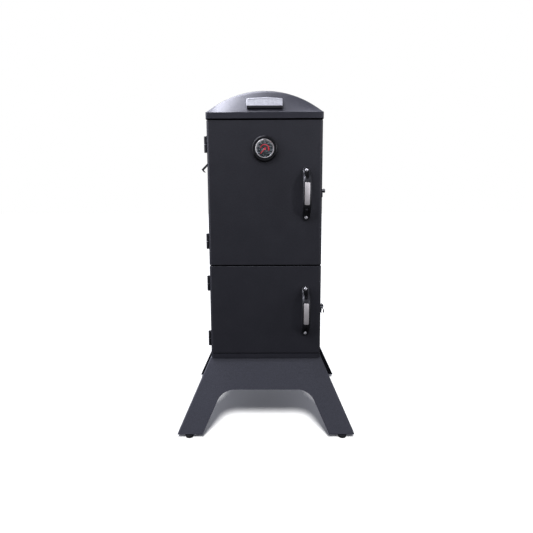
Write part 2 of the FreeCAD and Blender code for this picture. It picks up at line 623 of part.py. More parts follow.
def doors():
    def stem_holes(part_name):
        return [rod("stem_hole_" + part_name, "y", "0", FRONT + " - past", "thermo_mid", "stem_hole",
                    "door_depth + 2 * past")]

    door("upper", stem_holes)
    door("lower", lambda part_name: [])
    for which in ("upper", "lower"):
        handle(which)


NEEDLE_REST = 42


def thermometer():
    def on_door(body):
        return at(facing_front(body), "0", FRONT, "thermo_mid")

    node("thermometer_case", on_door(turned("case", (
        ("stem_round + 0.2", "0"), ("thermo_round - 2", "0"), ("thermo_round", "case_corner"),
        ("thermo_round", "case_deep - case_corner"), ("thermo_round - case_corner", "case_deep"),
        ("ring_round + 0.1", "case_deep"), ("ring_round + 0.1", "dial_low"),
        ("stem_round + 0.2", "dial_low")))))
    node("thermometer_ring", on_door(turned("ring", (
        ("dial_round", "dial_high"), ("ring_round", "dial_high"), ("ring_round", "ring_deep"),
        ("ring_round - ring_crown", "ring_deep + ring_crown"), ("dial_round + 1", "ring_deep + 1"),
        ("dial_round", "ring_deep")))))
    node("thermometer_dial", on_door(turned("dial", (
        ("spindle_round + run_fit", "dial_low"), ("ring_round", "dial_low"), ("ring_round", "dial_high"),
        ("spindle_round + run_fit", "dial_high")))))
    node("thermometer_lens", on_door(turned("lens", (
        ("0", "lens_low"), ("dial_round", "lens_low"), ("dial_round", "lens_high"), ("0", "lens_high")))))
    spindle = rod("needle_spindle", "y", "0", "0 - needle_high", "0", "spindle_round",
                  "needle_high - dial_low - 0.5")
    hub = rod("needle_hub", "y", "0", "0 - needle_high - 0.6", "0", "3.5", "2")
    blade = prism("needle_blade", "xz", (("0 - 1.6", "6"), ("0 - 1.1", "0 - 0.8 * needle_long"),
                                         ("0", "0 - needle_long"), ("1.1", "0 - 0.8 * needle_long"),
                                         ("1.6", "6")), "0 - needle_high", "0 - needle_low")
    needle = fuse("needle", [spindle, hub, blade])
    needle.Placement = Placement(Vector(), Rotation(Vector(0, 1, 0), NEEDLE_REST))
    node("thermometer_needle", at(needle, "0", FRONT, "thermo_mid"))
    probe = rod("probe", "y", "0", FRONT + " - dial_low + 0.1", "thermo_mid", "stem_round", "stem_long")
    nut = rod("probe_nut", "y", "0", FRONT + " + door_depth", "thermo_mid", "8", "nut_round")
    node("thermometer_stem", fuse("stem", [probe, nut]))


# ---------------------------------------------------------------- catches
# A catch hangs from its shaft at 0 and points backwards at 90.
CATCHES = (("upper", 90), ("lower", 0))
CORNER = 6
# The lever's side outline as (distance off the wall, depth below the shaft) from its hub to its tip and back.
LEVER_OUTLINE = ((16.5, 12), (18.3, 18), (17.2, 26), (14.5, 25.5), (14.8, 18), (13.5, 13), (11.5, 9.5))


def catches():
    """A cam and lever turn on one shaft; pointing forwards, the cam's notch holds the stud on the door."""
    bases = []
    for which, swing in CATCHES:
        bases.append(catch_base(which))
        place = Placement(Vector(), Rotation(Vector(1, 0, 0), swing))
        for part_name, thing in (("cam", catch_cam(which)), ("lever", catch_lever(which))):
            thing.Placement = place
            node("%s_catch_%s" % (which, part_name), at(thing, HALF, "0 - catch_front", which + "_catch_mid"))
        stud_at = ("0 - catch_front - catch_reach", which + "_catch_mid")
        pin = rod(which + "_stud_pin", "x", HALF, *stud_at, "stud_round", "stud_cap_high")
        cap = rod(which + "_stud_head", "x", HALF + " + stud_cap_low", *stud_at, "stud_cap_round",
                  "stud_cap_high - stud_cap_low")
        node(which + "_keeper_stud", fuse(which + "_stud", [pin, cap]))
    node("catch_bases", group("bases", bases))


def catch_base(which):
    y, mid = "(0 - catch_front)", which + "_catch_mid"
    slab = block(which + "_base_block", (HALF, HALF + " + base_deep"),
                 (y + " - base_near", y + " + base_far"),
                 (mid + " - base_drop", mid + " + base_rise"))
    body = rounded(which + "_base", slab, CORNER, lengthwise)
    shaft = rod(which + "_shaft", "x", HALF + " + 1", y, mid, "shaft_round", "shaft_cap_high - 1")
    cap = rod(which + "_shaft_cap", "x", HALF + " + shaft_cap_low", y, mid, "shaft_cap_round",
              "shaft_cap_high - shaft_cap_low")
    return fuse(which + "_pivoted_base", [body, shaft, cap])


def shaft_bore(name):
    return rod(name, "x", "0", "0", "0", "shaft_round + run_fit", "lever_high + past")


def catch_cam(which):
    """Drawn hanging from a shaft on the X axis, with X measured off the wall."""
    hub = rod(which + "_cam_hub", "x", "cam_low", "0", "0", "cam_round", "cam_high - cam_low")
    arm = prism(which + "_cam_arm", "yz", (
        ("0 - cam_half", "cam_tail - cam_half"), ("0 - cam_half", "0 - catch_reach - cam_half / 2"),
        ("0 - cam_half / 2", "0 - catch_reach - cam_half - 1"),
        ("cam_half / 2", "0 - catch_reach - cam_half - 1"), ("cam_half", "0 - catch_reach - cam_half / 2"),
        ("cam_half", "cam_tail - cam_half"), ("cam_half / 3", "cam_tail"), ("0 - cam_half / 3", "cam_tail")),
        "cam_low", "cam_high")
    eye = rod(which + "_cam_eye", "x", "0", "0 - 0.5", "0 - catch_reach", "eye_round", "cam_high + past")
    mouth = block(which + "_cam_mouth", ("0", "cam_high + past"), ("0 - 2 * cam_half", "0 - 0.5"),
                  ("0 - catch_reach - eye_round", "eye_round - catch_reach"))
    return cut(which + "_cam", fuse(which + "_cam_blank", [hub, arm]),
               [shaft_bore(which + "_cam_bore"), eye, mouth])


def catch_lever(which):
    """Drawn hanging like the cam; its bowed blade clears the cap of the stud."""
    hub = rod(which + "_lever_hub", "x", "cam_high", "0", "0", "cam_round", "lever_high - cam_high")
    neck = [("cam_high", "0 - cam_round"), ("cam_high", "0"), ("lever_high", "0"),
            ("lever_high", "0 - cam_round")]
    edge = [(str(out), "0 - %s" % down) for out, down in LEVER_OUTLINE]
    blade = prism(which + "_lever_blade", "xz", neck + edge, "0 - lever_half", "lever_half")
    return cut(which + "_lever", fuse(which + "_lever_blank", [hub, blade]),
               [shaft_bore(which + "_lever_bore")])


# ---------------------------------------------------------------- inside
RACKS = 4
RODS = 15


def against_walls(width, gap="0"):
    """The low and high X of a strip of some width beside the left and the right inner wall."""
    near, far = "%s - %s" % (INNER_X, gap), "%s - %s" % (INNER_X, width)
    return (("left", ("0 - (%s)" % near, "0 - (%s)" % far)), ("right", (far, near)))


def racks():
    ladders = []
    for (side, upright_x), (_, ledge_x) in zip(against_walls("strip_gauge"),
                                               against_walls("ledge_width", "strip_gauge")):
        pieces = []
        for name, low in (("near", "(0 - upright_front)"), ("far", "upright_back")):
            pieces.append(block("%s_%s_upright" % (side, name), upright_x, (low, low + " + upright_width"), (
                "rack_first - upright_margin", "rack_first + %d * rack_step + upright_margin" % (RACKS - 1))))
        for i in range(RACKS):
            level = "rack_first + %d * rack_step" % i
            pieces.append(block("%s_ledge_%d" % (side, i), ledge_x, ("0 - ledge_front", "ledge_back"),
                                (level + " - strip_gauge", level)))
        ladders.append(fuse(side + "_ladder", pieces))
    node("rack_ladders", group("ladders", ladders))
    for i in range(RACKS):
        grid(i + 1, "rack_first + %d * rack_step" % i)


def grid(number, level):
    """Welded wire rack: a border of thick wire, thin rods from front to back and one cross wire."""
    name = "grid_%d_" % number
    wide, deep, z = "grid_half_width", "grid_half_depth", level + " + frame_wire"
    wires = []
    for i in (-1, 1):
        wires.append(rod(name + "side_%d" % i, "y", "%d * %s" % (i, wide),
                         "inside_mid - %s - frame_wire" % deep, z, "frame_wire",
                         "2 * (%s + frame_wire)" % deep))
    for i in (-1, 0, 1):
        wires.append(rod(name + "cross_%d" % i, "x", "0 - " + wide, "inside_mid + %d * %s" % (i, deep), z,
                         "frame_wire", "2 * " + wide))
    for i in range(RODS):
        x = "%s * (%d / %d)" % (wide, 2 * (i + 1) - (RODS + 1), RODS + 1)
        wires.append(rod(name + "rod_%d" % i, "y", x, "inside_mid - " + deep, z + " + frame_wire",
                         "rack_wire", "2 * " + deep))
    node("cooking_grid_%d" % number, fuse(name + "weld", wires))


def open_box(name, half_x, y, z):
    """A box open at the top, as its outer block and the block to take out of it."""
    outer = block(name + "_outer", ("0 - " + half_x, half_x), y, z)
    inner = block(name + "_inner", ("0 - %s + gauge" % half_x, half_x + " - gauge"),
                  ("%s + gauge" % y[0], "%s - gauge" % y[1]), ("%s + gauge" % z[0], z[1] + " + past"))
    return outer, inner


SLOT_ROWS = 6
SIDE_SLOT_ROWS = 5


def about_mid(half):
    """The low and high Y that lie the same distance before and behind the middle of the racks."""
    return "inside_mid - (%s)" % half, "inside_mid + %s" % half


def divider():
    """The shelf between the two chambers, with a well for the water pan and a slot on each side for smoke."""
    sheet_z, cut_z = ("shelf_level", "shelf_level + gauge"), ("shelf_level - past", "shelf_level + past")
    shelf = block("shelf_sheet", ("0 - " + INNER_X, INNER_X), (FACE + " + gauge", INNER_Y), sheet_z)
    well = block("shelf_well", ("0 - pan_half_width - well_gap", "pan_half_width + well_gap"),
                 about_mid("pan_half_depth + well_gap"), cut_z)
    far, near = "(pan_half_width + vent_gap + vent_width)", "(pan_half_width + vent_gap)"
    vents = [block("shelf_vent_" + side, x, ("0 - vent_front", "vent_back"), cut_z)
             for side, x in (("left", ("0 - " + far, "0 - " + near)), ("right", (near, far)))]
    node("divider_shelf", cut("shelf", shelf, [well] + vents))
    top = "shelf_level + gauge"
    outer, inner = open_box("water", "pan_half_width", about_mid("pan_half_depth"),
                            (top + " - pan_deep", top + " + gauge"))
    rim = block("water_rim", ("0 - pan_half_width - pan_rim", "pan_half_width + pan_rim"),
                about_mid("pan_half_depth + pan_ends"), (top, top + " + gauge"))
    node("water_pan", cut("water", fuse("water_blank", [outer, rim]), [inner]))


def pans():
    divider()
    rails = []
    for (side, wall_x), (_, ledge_x) in zip(against_walls("strip_gauge"), against_walls("rail_width")):
        run = ("0 - ledge_front", "ledge_back")
        rails.append(fuse(side + "_rail", [
            block(side + "_rail_wall", wall_x, run, ("rail_level - rail_width", "rail_level")),
            block(side + "_rail_ledge", ledge_x, run, ("rail_level - strip_gauge", "rail_level"))]))
    node("basket_rails", group("rails", rails))
    outer, inner = open_box("basket", "basket_half_width", about_mid("basket_half_depth"),
                            ("rail_level", "rail_level + basket_high"))
    slots = []
    for i in range(-SLOT_ROWS, SLOT_ROWS + 1):
        slots.append(block("basket_slot_%d" % (i + SLOT_ROWS),
                           ("%d * slot_step - slot_half" % i, "%d * slot_step + slot_half" % i),
                           about_mid("basket_half_depth - slot_margin"),
                           ("rail_level - past", "rail_level + past")))
    for i in range(-SIDE_SLOT_ROWS, SIDE_SLOT_ROWS + 1):
        mid = "inside_mid + %d * side_slot_step" % i
        slots.append(block("basket_side_slot_%d" % (i + SIDE_SLOT_ROWS),
                           ("0 - basket_half_width - past", "basket_half_width + past"),
                           (mid + " - slot_half", mid + " + slot_half"),
                           ("rail_level + side_slot_low", "rail_level + basket_high - side_slot_high")))
    node("charcoal_basket", cut("basket", outer, [inner] + slots))
    outer, inner = open_box("ash", "ash_half_width", ("0 - ash_half_depth", "ash_half_depth"),
                            ("floor_high", "floor_high + ash_high"))
    pull = block("ash_pull", ("0 - pull_half", "pull_half"),
                 ("0 - ash_half_depth - pull_out", "0 - ash_half_depth + gauge"),
                 ("floor_high + ash_high - gauge", "floor_high + ash_high"))
    node("ash_pan", cut("ash", fuse("ash_blank", [outer, pull]), [inner]))


# ---------------------------------------------------------------- rear and left side
def dampers():
    bolts = []
    for name, mid in (("exhaust", "exhaust_mid"), ("intake", "intake_mid")):
        disc = rod(name + "_disc", "y", "0", BACK + " + run_gap", mid, "damper_round", "disc_gauge")
        tab = block(name + "_tab", ("0 - tab_half", "tab_half"), (BACK + " + run_gap", BACK + " + tab_out"),
                    (mid + " + damper_round - 2 * disc_gauge", mid + " + damper_round - disc_gauge"))
        bore = rod(name + "_bore", "y", "0", BACK + " - past", mid, "damper_bolt + run_fit", "2 * past")
        node(name + "_damper", cut(name + "_plate", fuse(name + "_blank", [disc, tab]),
                                   [bore] + port_ring_holes(mid)))
        shank = rod(name + "_bolt_shank", "y", "0", BACK + " - nut_high - gauge", mid, "damper_bolt",
                    "nut_high + gauge + disc_gauge + 3 * run_gap")
        head = rod(name + "_bolt_head", "y", "0", BACK + " + 2 * run_gap + disc_gauge", mid,
                   "damper_bolt_head", "damper_head_high")
        nut = rod(name + "_bolt_nut", "y", "0", BACK + " - gauge - nut_high", mid, "nut_round", "nut_high")
        bolts.append(fuse(name + "_bolt", [shank, head, nut]))
    node("damper_bolts", group("damper_bolt_set", bolts))


def opener():
    """Bent sheet on the left wall: a sloping hood whose lip turns back under to catch a cap."""
    wall = "(0 - %s)" % HALF
    skin = wall + " - opener_gauge"
    hood = prism("hood", "xz", ((wall, "opener_low"), (wall, "opener_high"), (skin, "opener_high"),
                                (skin, "hood_high"), (wall + " - hood_out", "hood_low"),
                                (wall + " - lip_out", "lip_low"),
                                (wall + " - lip_out + 1.5", "lip_low + 1.5"),
                                (wall + " - hood_out + 3", "hood_low"), (skin, "hood_high - 3"),
                                (skin, "opener_low")),
                 "0 - opener_mid - opener_half", "0 - opener_mid + opener_half")
    screws = []
    for i in (-1, 1):
        y = "%d * screw_step - opener_mid" % i
        shank = rod("opener_shank_%d" % i, "x", skin + " - 1", y, "screw_level", "screw_round",
                    "2 * screw_head")
        head = rod("opener_head_%d" % i, "x", skin + " - screw_head_high", y, "screw_level", "screw_head",
                   "screw_head_high")
        screws.append(fuse("opener_screw_%d" % i, [shank, head]))
    node("bottle_opener", cut("opener", hood, opener_holes("opener")))
    node("opener_screws", group("opener_screw_set", screws))


# ---------------------------------------------------------------- build, test and write
for build in (cabinet, floor_pan, roof, legs, hinges, doors, thermometer, catches, racks, pans, dampers,
              opener):
    build()
doc.recompute()

faults = [thing.Name for thing in doc.Objects if "Invalid" in thing.State or "Error" in thing.State]
if faults:
    raise SystemExit("failed objects: %s" % faults)
os.makedirs("parts", exist_ok=True)
for piece in NODES:
    shape = piece.Shape
    if shape.isNull() or not shape.isValid():
        raise SystemExit("bad shape: %s" % piece.Label)
    shape.exportStep(os.path.join("parts", piece.Label + ".step"))
    print("%-28s %2d solids %12.1f mm3" % (piece.Label, len(shape.Solids), shape.Volume))
print(len(NODES), "nodes")
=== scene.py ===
import json
import math

import bmesh
import bpy
from mathutils import Matrix, Vector

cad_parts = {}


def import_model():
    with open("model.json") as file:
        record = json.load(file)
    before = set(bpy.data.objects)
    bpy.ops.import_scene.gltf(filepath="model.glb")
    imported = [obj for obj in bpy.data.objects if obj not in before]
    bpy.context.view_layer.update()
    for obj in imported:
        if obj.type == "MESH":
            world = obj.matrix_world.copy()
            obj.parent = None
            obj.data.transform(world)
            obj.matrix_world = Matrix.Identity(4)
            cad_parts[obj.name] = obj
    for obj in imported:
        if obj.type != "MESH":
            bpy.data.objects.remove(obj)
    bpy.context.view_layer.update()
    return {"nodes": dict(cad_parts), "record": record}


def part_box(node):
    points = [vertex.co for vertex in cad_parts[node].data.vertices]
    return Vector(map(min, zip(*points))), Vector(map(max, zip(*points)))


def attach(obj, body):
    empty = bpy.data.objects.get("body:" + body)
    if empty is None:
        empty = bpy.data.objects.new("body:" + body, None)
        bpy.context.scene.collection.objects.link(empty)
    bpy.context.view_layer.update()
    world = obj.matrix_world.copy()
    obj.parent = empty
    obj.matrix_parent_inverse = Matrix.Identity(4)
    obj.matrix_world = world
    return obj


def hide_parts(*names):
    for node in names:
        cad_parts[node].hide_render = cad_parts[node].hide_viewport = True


# Two-door cabinet smoker on splayed leg panels. Metres; the origin is on the floor under the cabinet.
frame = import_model()
NODES = frame["nodes"]
MM = 0.001
SHEET = 1.2 * MM
SMALLEST_RADIUS = 0.01 * MM


def corners(node):
    """Lowest and highest corner of a CAD node, in metres."""
    low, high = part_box(node)
    return Vector(low), Vector(high)


def middle(node):
    """Middle of a CAD node's box, in metres."""
    low, high = corners(node)
    return (low + high) / 2


def in_metres(outline):
    """An outline drawn in millimetres, in metres."""
    return [(a * MM, b * MM) for a, b in outline]


def cosd(degrees):
    return math.cos(math.radians(degrees))


def sind(degrees):
    return math.sin(math.radians(degrees))


# ---- mesh helpers
def add_object(name, data):
    """Put a mesh, text, lamp or camera into the scene."""
    obj = bpy.data.objects.new(name, data)
    bpy.context.scene.collection.objects.link(obj)
    return obj


def new_object(name, verts, faces):
    mesh = bpy.data.meshes.new(name)
    mesh.from_pydata([tuple(v) for v in verts], [], faces)
    mesh.validate()
    return add_object(name, mesh)


def solid(name, verts, faces):
    """A closed piece with every face turned outwards."""
    obj = new_object(name, verts, faces)
    bm = bmesh.new()
    bm.from_mesh(obj.data)
    bmesh.ops.remove_doubles(bm, verts=bm.verts, dist=1e-7)
    bmesh.ops.recalc_face_normals(bm, faces=bm.faces)
    bm.to_mesh(obj.data)
    bm.free()
    return obj


def bevel(obj, width, steps=3, angle=30.0):
    """Round the edges that turn by more than an angle in degrees."""
    mod = obj.modifiers.new("bevel", "BEVEL")
    mod.width = width
    mod.segments = steps
    mod.limit_method = "ANGLE"
    mod.angle_limit = math.radians(angle)
    mod.miter_outer = "MITER_ARC"


def solidify(obj, thickness, offset):
    """Thicken a sheet: in front of its faces with offset 1, behind them with -1, both ways with 0."""
    mod = obj.modifiers.new("gauge", "SOLIDIFY")
    mod.thickness = thickness
    mod.offset = offset


def baked_mesh(obj):
    """A new mesh of an object with its modifiers applied."""
    view = bpy.context.evaluated_depsgraph_get()
    return bpy.data.meshes.new_from_object(obj.evaluated_get(view))


def bake(obj):
    """Apply the modifiers for good."""
    baked = baked_mesh(obj)
    obj.modifiers.clear()
    obj.data = baked


def dress(obj, body, slot, *stands_for, smooth=38.0, material=None):
    """Finish a piece: bake it, shade its soft edges smooth and its large faces flat, give it a body and its
    slot's finish or another material, and hide the CAD nodes it stands for."""
    bake(obj)
    mesh = obj.data
    mesh.name = obj.name
    mesh.shade_smooth()
    mesh.set_sharp_from_angle(angle=math.radians(smooth))
    weights = obj.modifiers.new("weights", "WEIGHTED_NORMAL")
    weights.keep_sharp = True
    mesh.materials.clear()
    mesh.materials.append(material or FINISHES[slot])
    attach(obj, body)
    if stands_for:
        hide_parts(*stands_for)


def joined(name, parts):
    """One object from several, with their modifiers applied."""
    meshes = [baked_mesh(part) for part in parts]
    bm = bmesh.new()
    for part, baked in zip(parts, meshes):
        bm.from_mesh(baked)
        bpy.data.meshes.remove(baked)
        bpy.data.objects.remove(part)
    mesh = bpy.data.meshes.new(name)
    bm.to_mesh(mesh)
    bm.free()
    return add_object(name, mesh)


def band_faces(rings, steps, closed=False):
    """Faces between rings that have the same number of points; closed joins the last ring to the first."""
    faces = []
    for i in range(rings if closed else rings - 1):
        here, there = i * steps, (i + 1) % rings * steps
        for k in range(steps):
            n = (k + 1) % steps
            faces.append([here + k, here + n, there + n, there + k])
    return faces


def end_faces(rings, steps):
    """The two faces that close the first and the last ring."""
    last = (rings - 1) * steps
    return [list(range(steps)), list(range(last + steps - 1, last - 1, -1))]


def grid_faces(rows, wide):
    """Faces of an open sheet whose points come in rows of the same width."""
    faces = []
    for j in range(rows - 1):
        for k in range(wide - 1):
            a = j * wide + k
            faces.append([a, a + 1, a + 1 + wide, a + wide])
    return faces


PLACES = {
    "x": lambda a, b, c: Vector((c, a, b)),
    "y": lambda a, b, c: Vector((a, c, b)),
    "z": lambda a, b, c: Vector((a, b, c)),
}


def slab(name, outline, along, low, high):
    """An outline pushed along an axis; the outline's two numbers are the other axes in order."""
    place = PLACES[along]
    count = len(outline)
    verts = [place(a, b, run) for run in (low, high) for a, b in outline]
    return solid(name, verts, end_faces(2, count) + band_faces(2, count))


def arc(ca, cb, radius, start, end, steps=6):
    """Points of a circular arc as (a, b) pairs; angles in degrees."""
    turns = [math.radians(start + (end - start) * k / steps) for k in range(steps + 1)]
    return [(ca + radius * math.cos(t), cb + radius * math.sin(t)) for t in turns]


def box_outline(a0, a1, b0, b1, radius, steps=5):
    """A rectangle with rounded corners, anticlockwise."""
    left, right, near, far = a0 + radius, a1 - radius, b0 + radius, b1 - radius
    points = []
    for a, b, start in ((right, near, -90), (right, far, 0), (left, far, 90), (left, near, 180)):
        points += arc(a, b, radius, start, start + 90, steps)
    return points


def corner_inset(radius, run):
    """How far a rounded corner stands in from the side, at this distance from its end."""
    if run >= radius:
        return 0.0
    return radius - math.sqrt(max(0.0, radius ** 2 - (radius - run) ** 2))


def lathe(name, profile, centre, along, steps):
    """A turned piece. The profile is (radius, distance along the axis) in millimetres, from one end to the
    other; one that ends where it began makes a ring. The centre is in metres."""
    axis = PLACES[along](0, 0, 1)
    side = Vector((0, 1, 0)) if along == "x" else Vector((1, 0, 0))
    other = axis.cross(side)
    centre = Vector(centre)
    verts = []
    for radius, run in profile:
        for k in range(steps):
            turn = 2 * math.pi * k / steps
            spoke = side * math.cos(turn) + other * math.sin(turn)
            verts.append(centre + axis * (run * MM) + spoke * max(radius * MM, SMALLEST_RADIUS))
    faces = band_faces(len(profile), steps)
    if profile[0] != profile[-1]:
        faces += end_faces(len(profile), steps)
    return solid(name, verts, faces)


def tube(name, path, radius, closed, sides, flat=1.0, up=Vector((0, 0, 1))):
    """A round bar along a path; flat squeezes it along the up direction."""
    points = [Vector(p) for p in path]
    count = len(points)
    verts = []
    for i, point in enumerate(points):
        before = points[i - 1] if (i > 0 or closed) else point
        after = points[(i + 1) % count] if (i < count - 1 or closed) else point
        run = (after - before).normalized()
        side = run.cross(up).normalized()
        lift = side.cross(run).normalized()
        for k in range(sides):
            turn = 2 * math.pi * k / sides
            verts.append(point + side * radius * math.cos(turn) + lift * radius * flat * math.sin(turn))
    faces = band_faces(count, sides, closed)
    if not closed:
        faces += end_faces(count, sides)
    return solid(name, verts, faces)


def carve(obj, tool):
    """Cut a tool out of a piece for good."""
    mod = obj.modifiers.new("carve", "BOOLEAN")
    mod.operation = "DIFFERENCE"
    mod.solver = "EXACT"
    mod.object = tool
    bake(obj)
    bpy.data.objects.remove(tool)


# ---- material helpers
class Finish:
    """A principled material with short calls for procedural detail, in metres."""

    def __init__(self, name, colour, rough, metal=0.0):
        self.mat = bpy.data.materials.new(name)
        self.mat.use_nodes = True
        self.tree = self.mat.node_tree
        self.shader = self.tree.nodes["Principled BSDF"]
        self.put("Base Color", (*colour, 1.0))
        self.put("Roughness", rough)
        self.put("Metallic", metal)
        self.tint = colour
        self.where = self.tree.nodes.new("ShaderNodeTexCoord").outputs["Object"]
        self.last_normal = None

    def put(self, socket, value):
        self.shader.inputs[socket].default_value = value

    def wire(self, start, end):
        self.tree.links.new(start, end)

    def texture(self, kind, stretch=(1.0, 1.0, 1.0), turn=(0.0, 0.0, 0.0), **numbers):
        """A texture node over the object's own coordinates, stretched and turned in degrees."""
        mapping = self.tree.nodes.new("ShaderNodeMapping")
        mapping.inputs["Scale"].default_value = stretch
        mapping.inputs["Rotation"].default_value = [math.radians(t) for t in turn]
        self.wire(self.where, mapping.inputs["Vector"])
        tex = self.tree.nodes.new("ShaderNodeTex" + kind)
        for socket, number in numbers.items():
            tex.inputs[socket].default_value = number
        self.wire(mapping.outputs["Vector"], tex.inputs["Vector"])
        return tex

    def noise(self, scale, detail=2.0, rough=0.55, stretch=(1.0, 1.0, 1.0)):
        return self.texture("Noise", stretch, Scale=scale, Detail=detail, Roughness=rough).outputs[0]

    def cells(self, scale):
        return self.texture("Voronoi", Scale=scale).outputs[0]

    def strands(self, scale, turn=(0.0, 0.0, 0.0)):
        tex = self.texture("Wave", turn=turn, Scale=scale, Distortion=0.6)
        tex.bands_direction = "DIAGONAL"
        return tex.outputs[1]

    def colour(self, value, *stops):
        """Colour by a ramp of (place, colour) stops."""
        node = self.tree.nodes.new("ShaderNodeValToRGB")
        bar = node.color_ramp
        while len(bar.elements) < len(stops):
            bar.elements.new(0.5)
        for element, (place, colour) in zip(bar.elements, stops):
            element.position = place
            element.color = (*colour, 1.0)
        self.wire(value, node.inputs["Fac"])
        self.wire(node.outputs["Color"], self.shader.inputs["Base Color"])

    def tone(self, value, vary, low=0.3, high=0.7):
        """Colour that drifts from a darker to a lighter neighbour of the finish's own."""
        dark, light = ([c * share for c in self.tint] for share in (1 - vary, 1 + vary))
        self.colour(value, (low, dark), (high, light))

    def rough(self, value, low, high):
        """Roughness from low to high over the middle of a value's range."""
        node = self.tree.nodes.new("ShaderNodeMapRange")
        for socket, number in (("From Min", 0.3), ("From Max", 0.7), ("To Min", low), ("To Max", high)):
            node.inputs[socket].default_value = number
        self.wire(value, node.inputs["Value"])
        self.wire(node.outputs["Result"], self.shader.inputs["Roughness"])

    def bump(self, height, depth):
        """Raise the surface by a depth in metres, on top of any earlier bump."""
        node = self.tree.nodes.new("ShaderNodeBump")
        node.inputs["Strength"].default_value = 1.0
        node.inputs["Distance"].default_value = depth
        self.wire(height, node.inputs["Height"])
        if self.last_normal is not None:
            self.wire(self.last_normal, node.inputs["Normal"])
        self.last_normal = node.outputs["Normal"]
        self.wire(self.last_normal, self.shader.inputs["Normal"])


def powder_coat(name, colour, rough, grain=1.0, vary=0.12):
    """Baked powder coat: a fine pebbled skin with slight drift in colour and gloss."""
    made = Finish(name, colour, rough)
    made.tone(made.noise(260.0, 4.0, 0.7), vary)
    made.rough(made.noise(14.0, 3.0), rough - 0.04, rough + 0.05)
    made.bump(made.noise(1500.0 / grain, 2.0, 0.5), 0.00012 * grain)
    made.bump(made.cells(420.0 / grain), 0.00006 * grain)
    return made.mat


def brushed(name, colour, rough, stretch, metal=1.0, lines=900.0):
    """Rolled or brushed sheet metal with fine lines along one direction."""
    made = Finish(name, colour, rough, metal)
    grain = made.noise(lines, 3.0, 0.6, stretch)
    made.tone(grain, 0.10, 0.25, 0.75)
    made.rough(made.noise(lines * 0.6, 2.0, 0.6, stretch), rough - 0.07, rough + 0.09)
    made.bump(grain, 0.00004)
    return made.mat


def plated(name, colour, rough, metal=1.0):
    """Plated or cast metal with faint mottling and handling wear."""
    made = Finish(name, colour, rough, metal)
    made.tone(made.noise(180.0, 4.0, 0.65), 0.14)
    made.rough(made.noise(90.0, 3.0), rough - 0.06, rough + 0.08)
    made.bump(made.noise(700.0, 2.0), 0.00003)
    return made.mat


def moulded(name, colour, rough, texture=0.00006):
    """Moulded plastic or rubber with a fine spark-eroded grain."""
    made = Finish(name, colour, rough)
    made.tone(made.noise(120.0, 3.0), 0.16)
    made.rough(made.noise(60.0, 2.0), rough - 0.05, rough + 0.06)
    made.bump(made.noise(1800.0, 2.0), texture)
    return made.mat


def enamel(name, colour):
    """Fired enamel: glossy black glass with tiny specks and a wavy surface."""
    made = Finish(name, colour, 0.18)
    specks = made.cells(600.0)
    made.colour(specks, (0.02, (0.25, 0.26, 0.28)), (0.06, colour), (1.0, colour))
    made.rough(made.noise(30.0, 2.0), 0.12, 0.26)
    made.bump(made.noise(90.0, 2.0), 0.00015)
    made.put("Coat Weight", 0.5)
    made.put("Coat Roughness", 0.08)
    return made.mat


def rope(name, colour):
    """Braided glass-fibre gasket: crossing diagonal strands with fuzz."""
    made = Finish(name, colour, 0.85)
    one = made.strands(95.0)
    two = made.strands(95.0, (0.0, 90.0, 0.0))
    made.colour(one, (0.15, [c * 0.55 for c in colour]), (0.8, [c * 1.25 for c in colour]))
    made.bump(one, 0.0006)
    made.bump(two, 0.0006)
    made.bump(made.noise(1400.0, 3.0), 0.0002)
    made.put("Sheen Weight", 0.25)
    return made.mat


def clear_glass(name):
    made = Finish(name, (0.95, 0.97, 0.97), 0.03)
    made.put("Transmission Weight", 1.0)
    made.put("IOR", 1.1)
    made.rough(made.noise(40.0, 2.0), 0.01, 0.05)
    return made.mat


def printed_dial(name):
    """Matt printed dial: near black with a fine ink grain and a faint spun pattern."""
    made = Finish(name, (0.030, 0.036, 0.040), 0.5)
    made.colour(made.noise(900.0, 3.0), (0.3, (0.022, 0.027, 0.031)), (0.7, (0.040, 0.046, 0.050)))
    made.rough(made.noise(200.0, 2.0), 0.42, 0.60)
    made.bump(made.noise(2200.0, 2.0), 0.00002)
    return made.mat


def ink(name, colour, rough=0.45):
    made = Finish(name, colour, rough)
    made.tone(made.noise(1200.0, 2.0), 0.10)
    made.rough(made.noise(300.0, 2.0), rough - 0.06, rough + 0.06)
    return made.mat


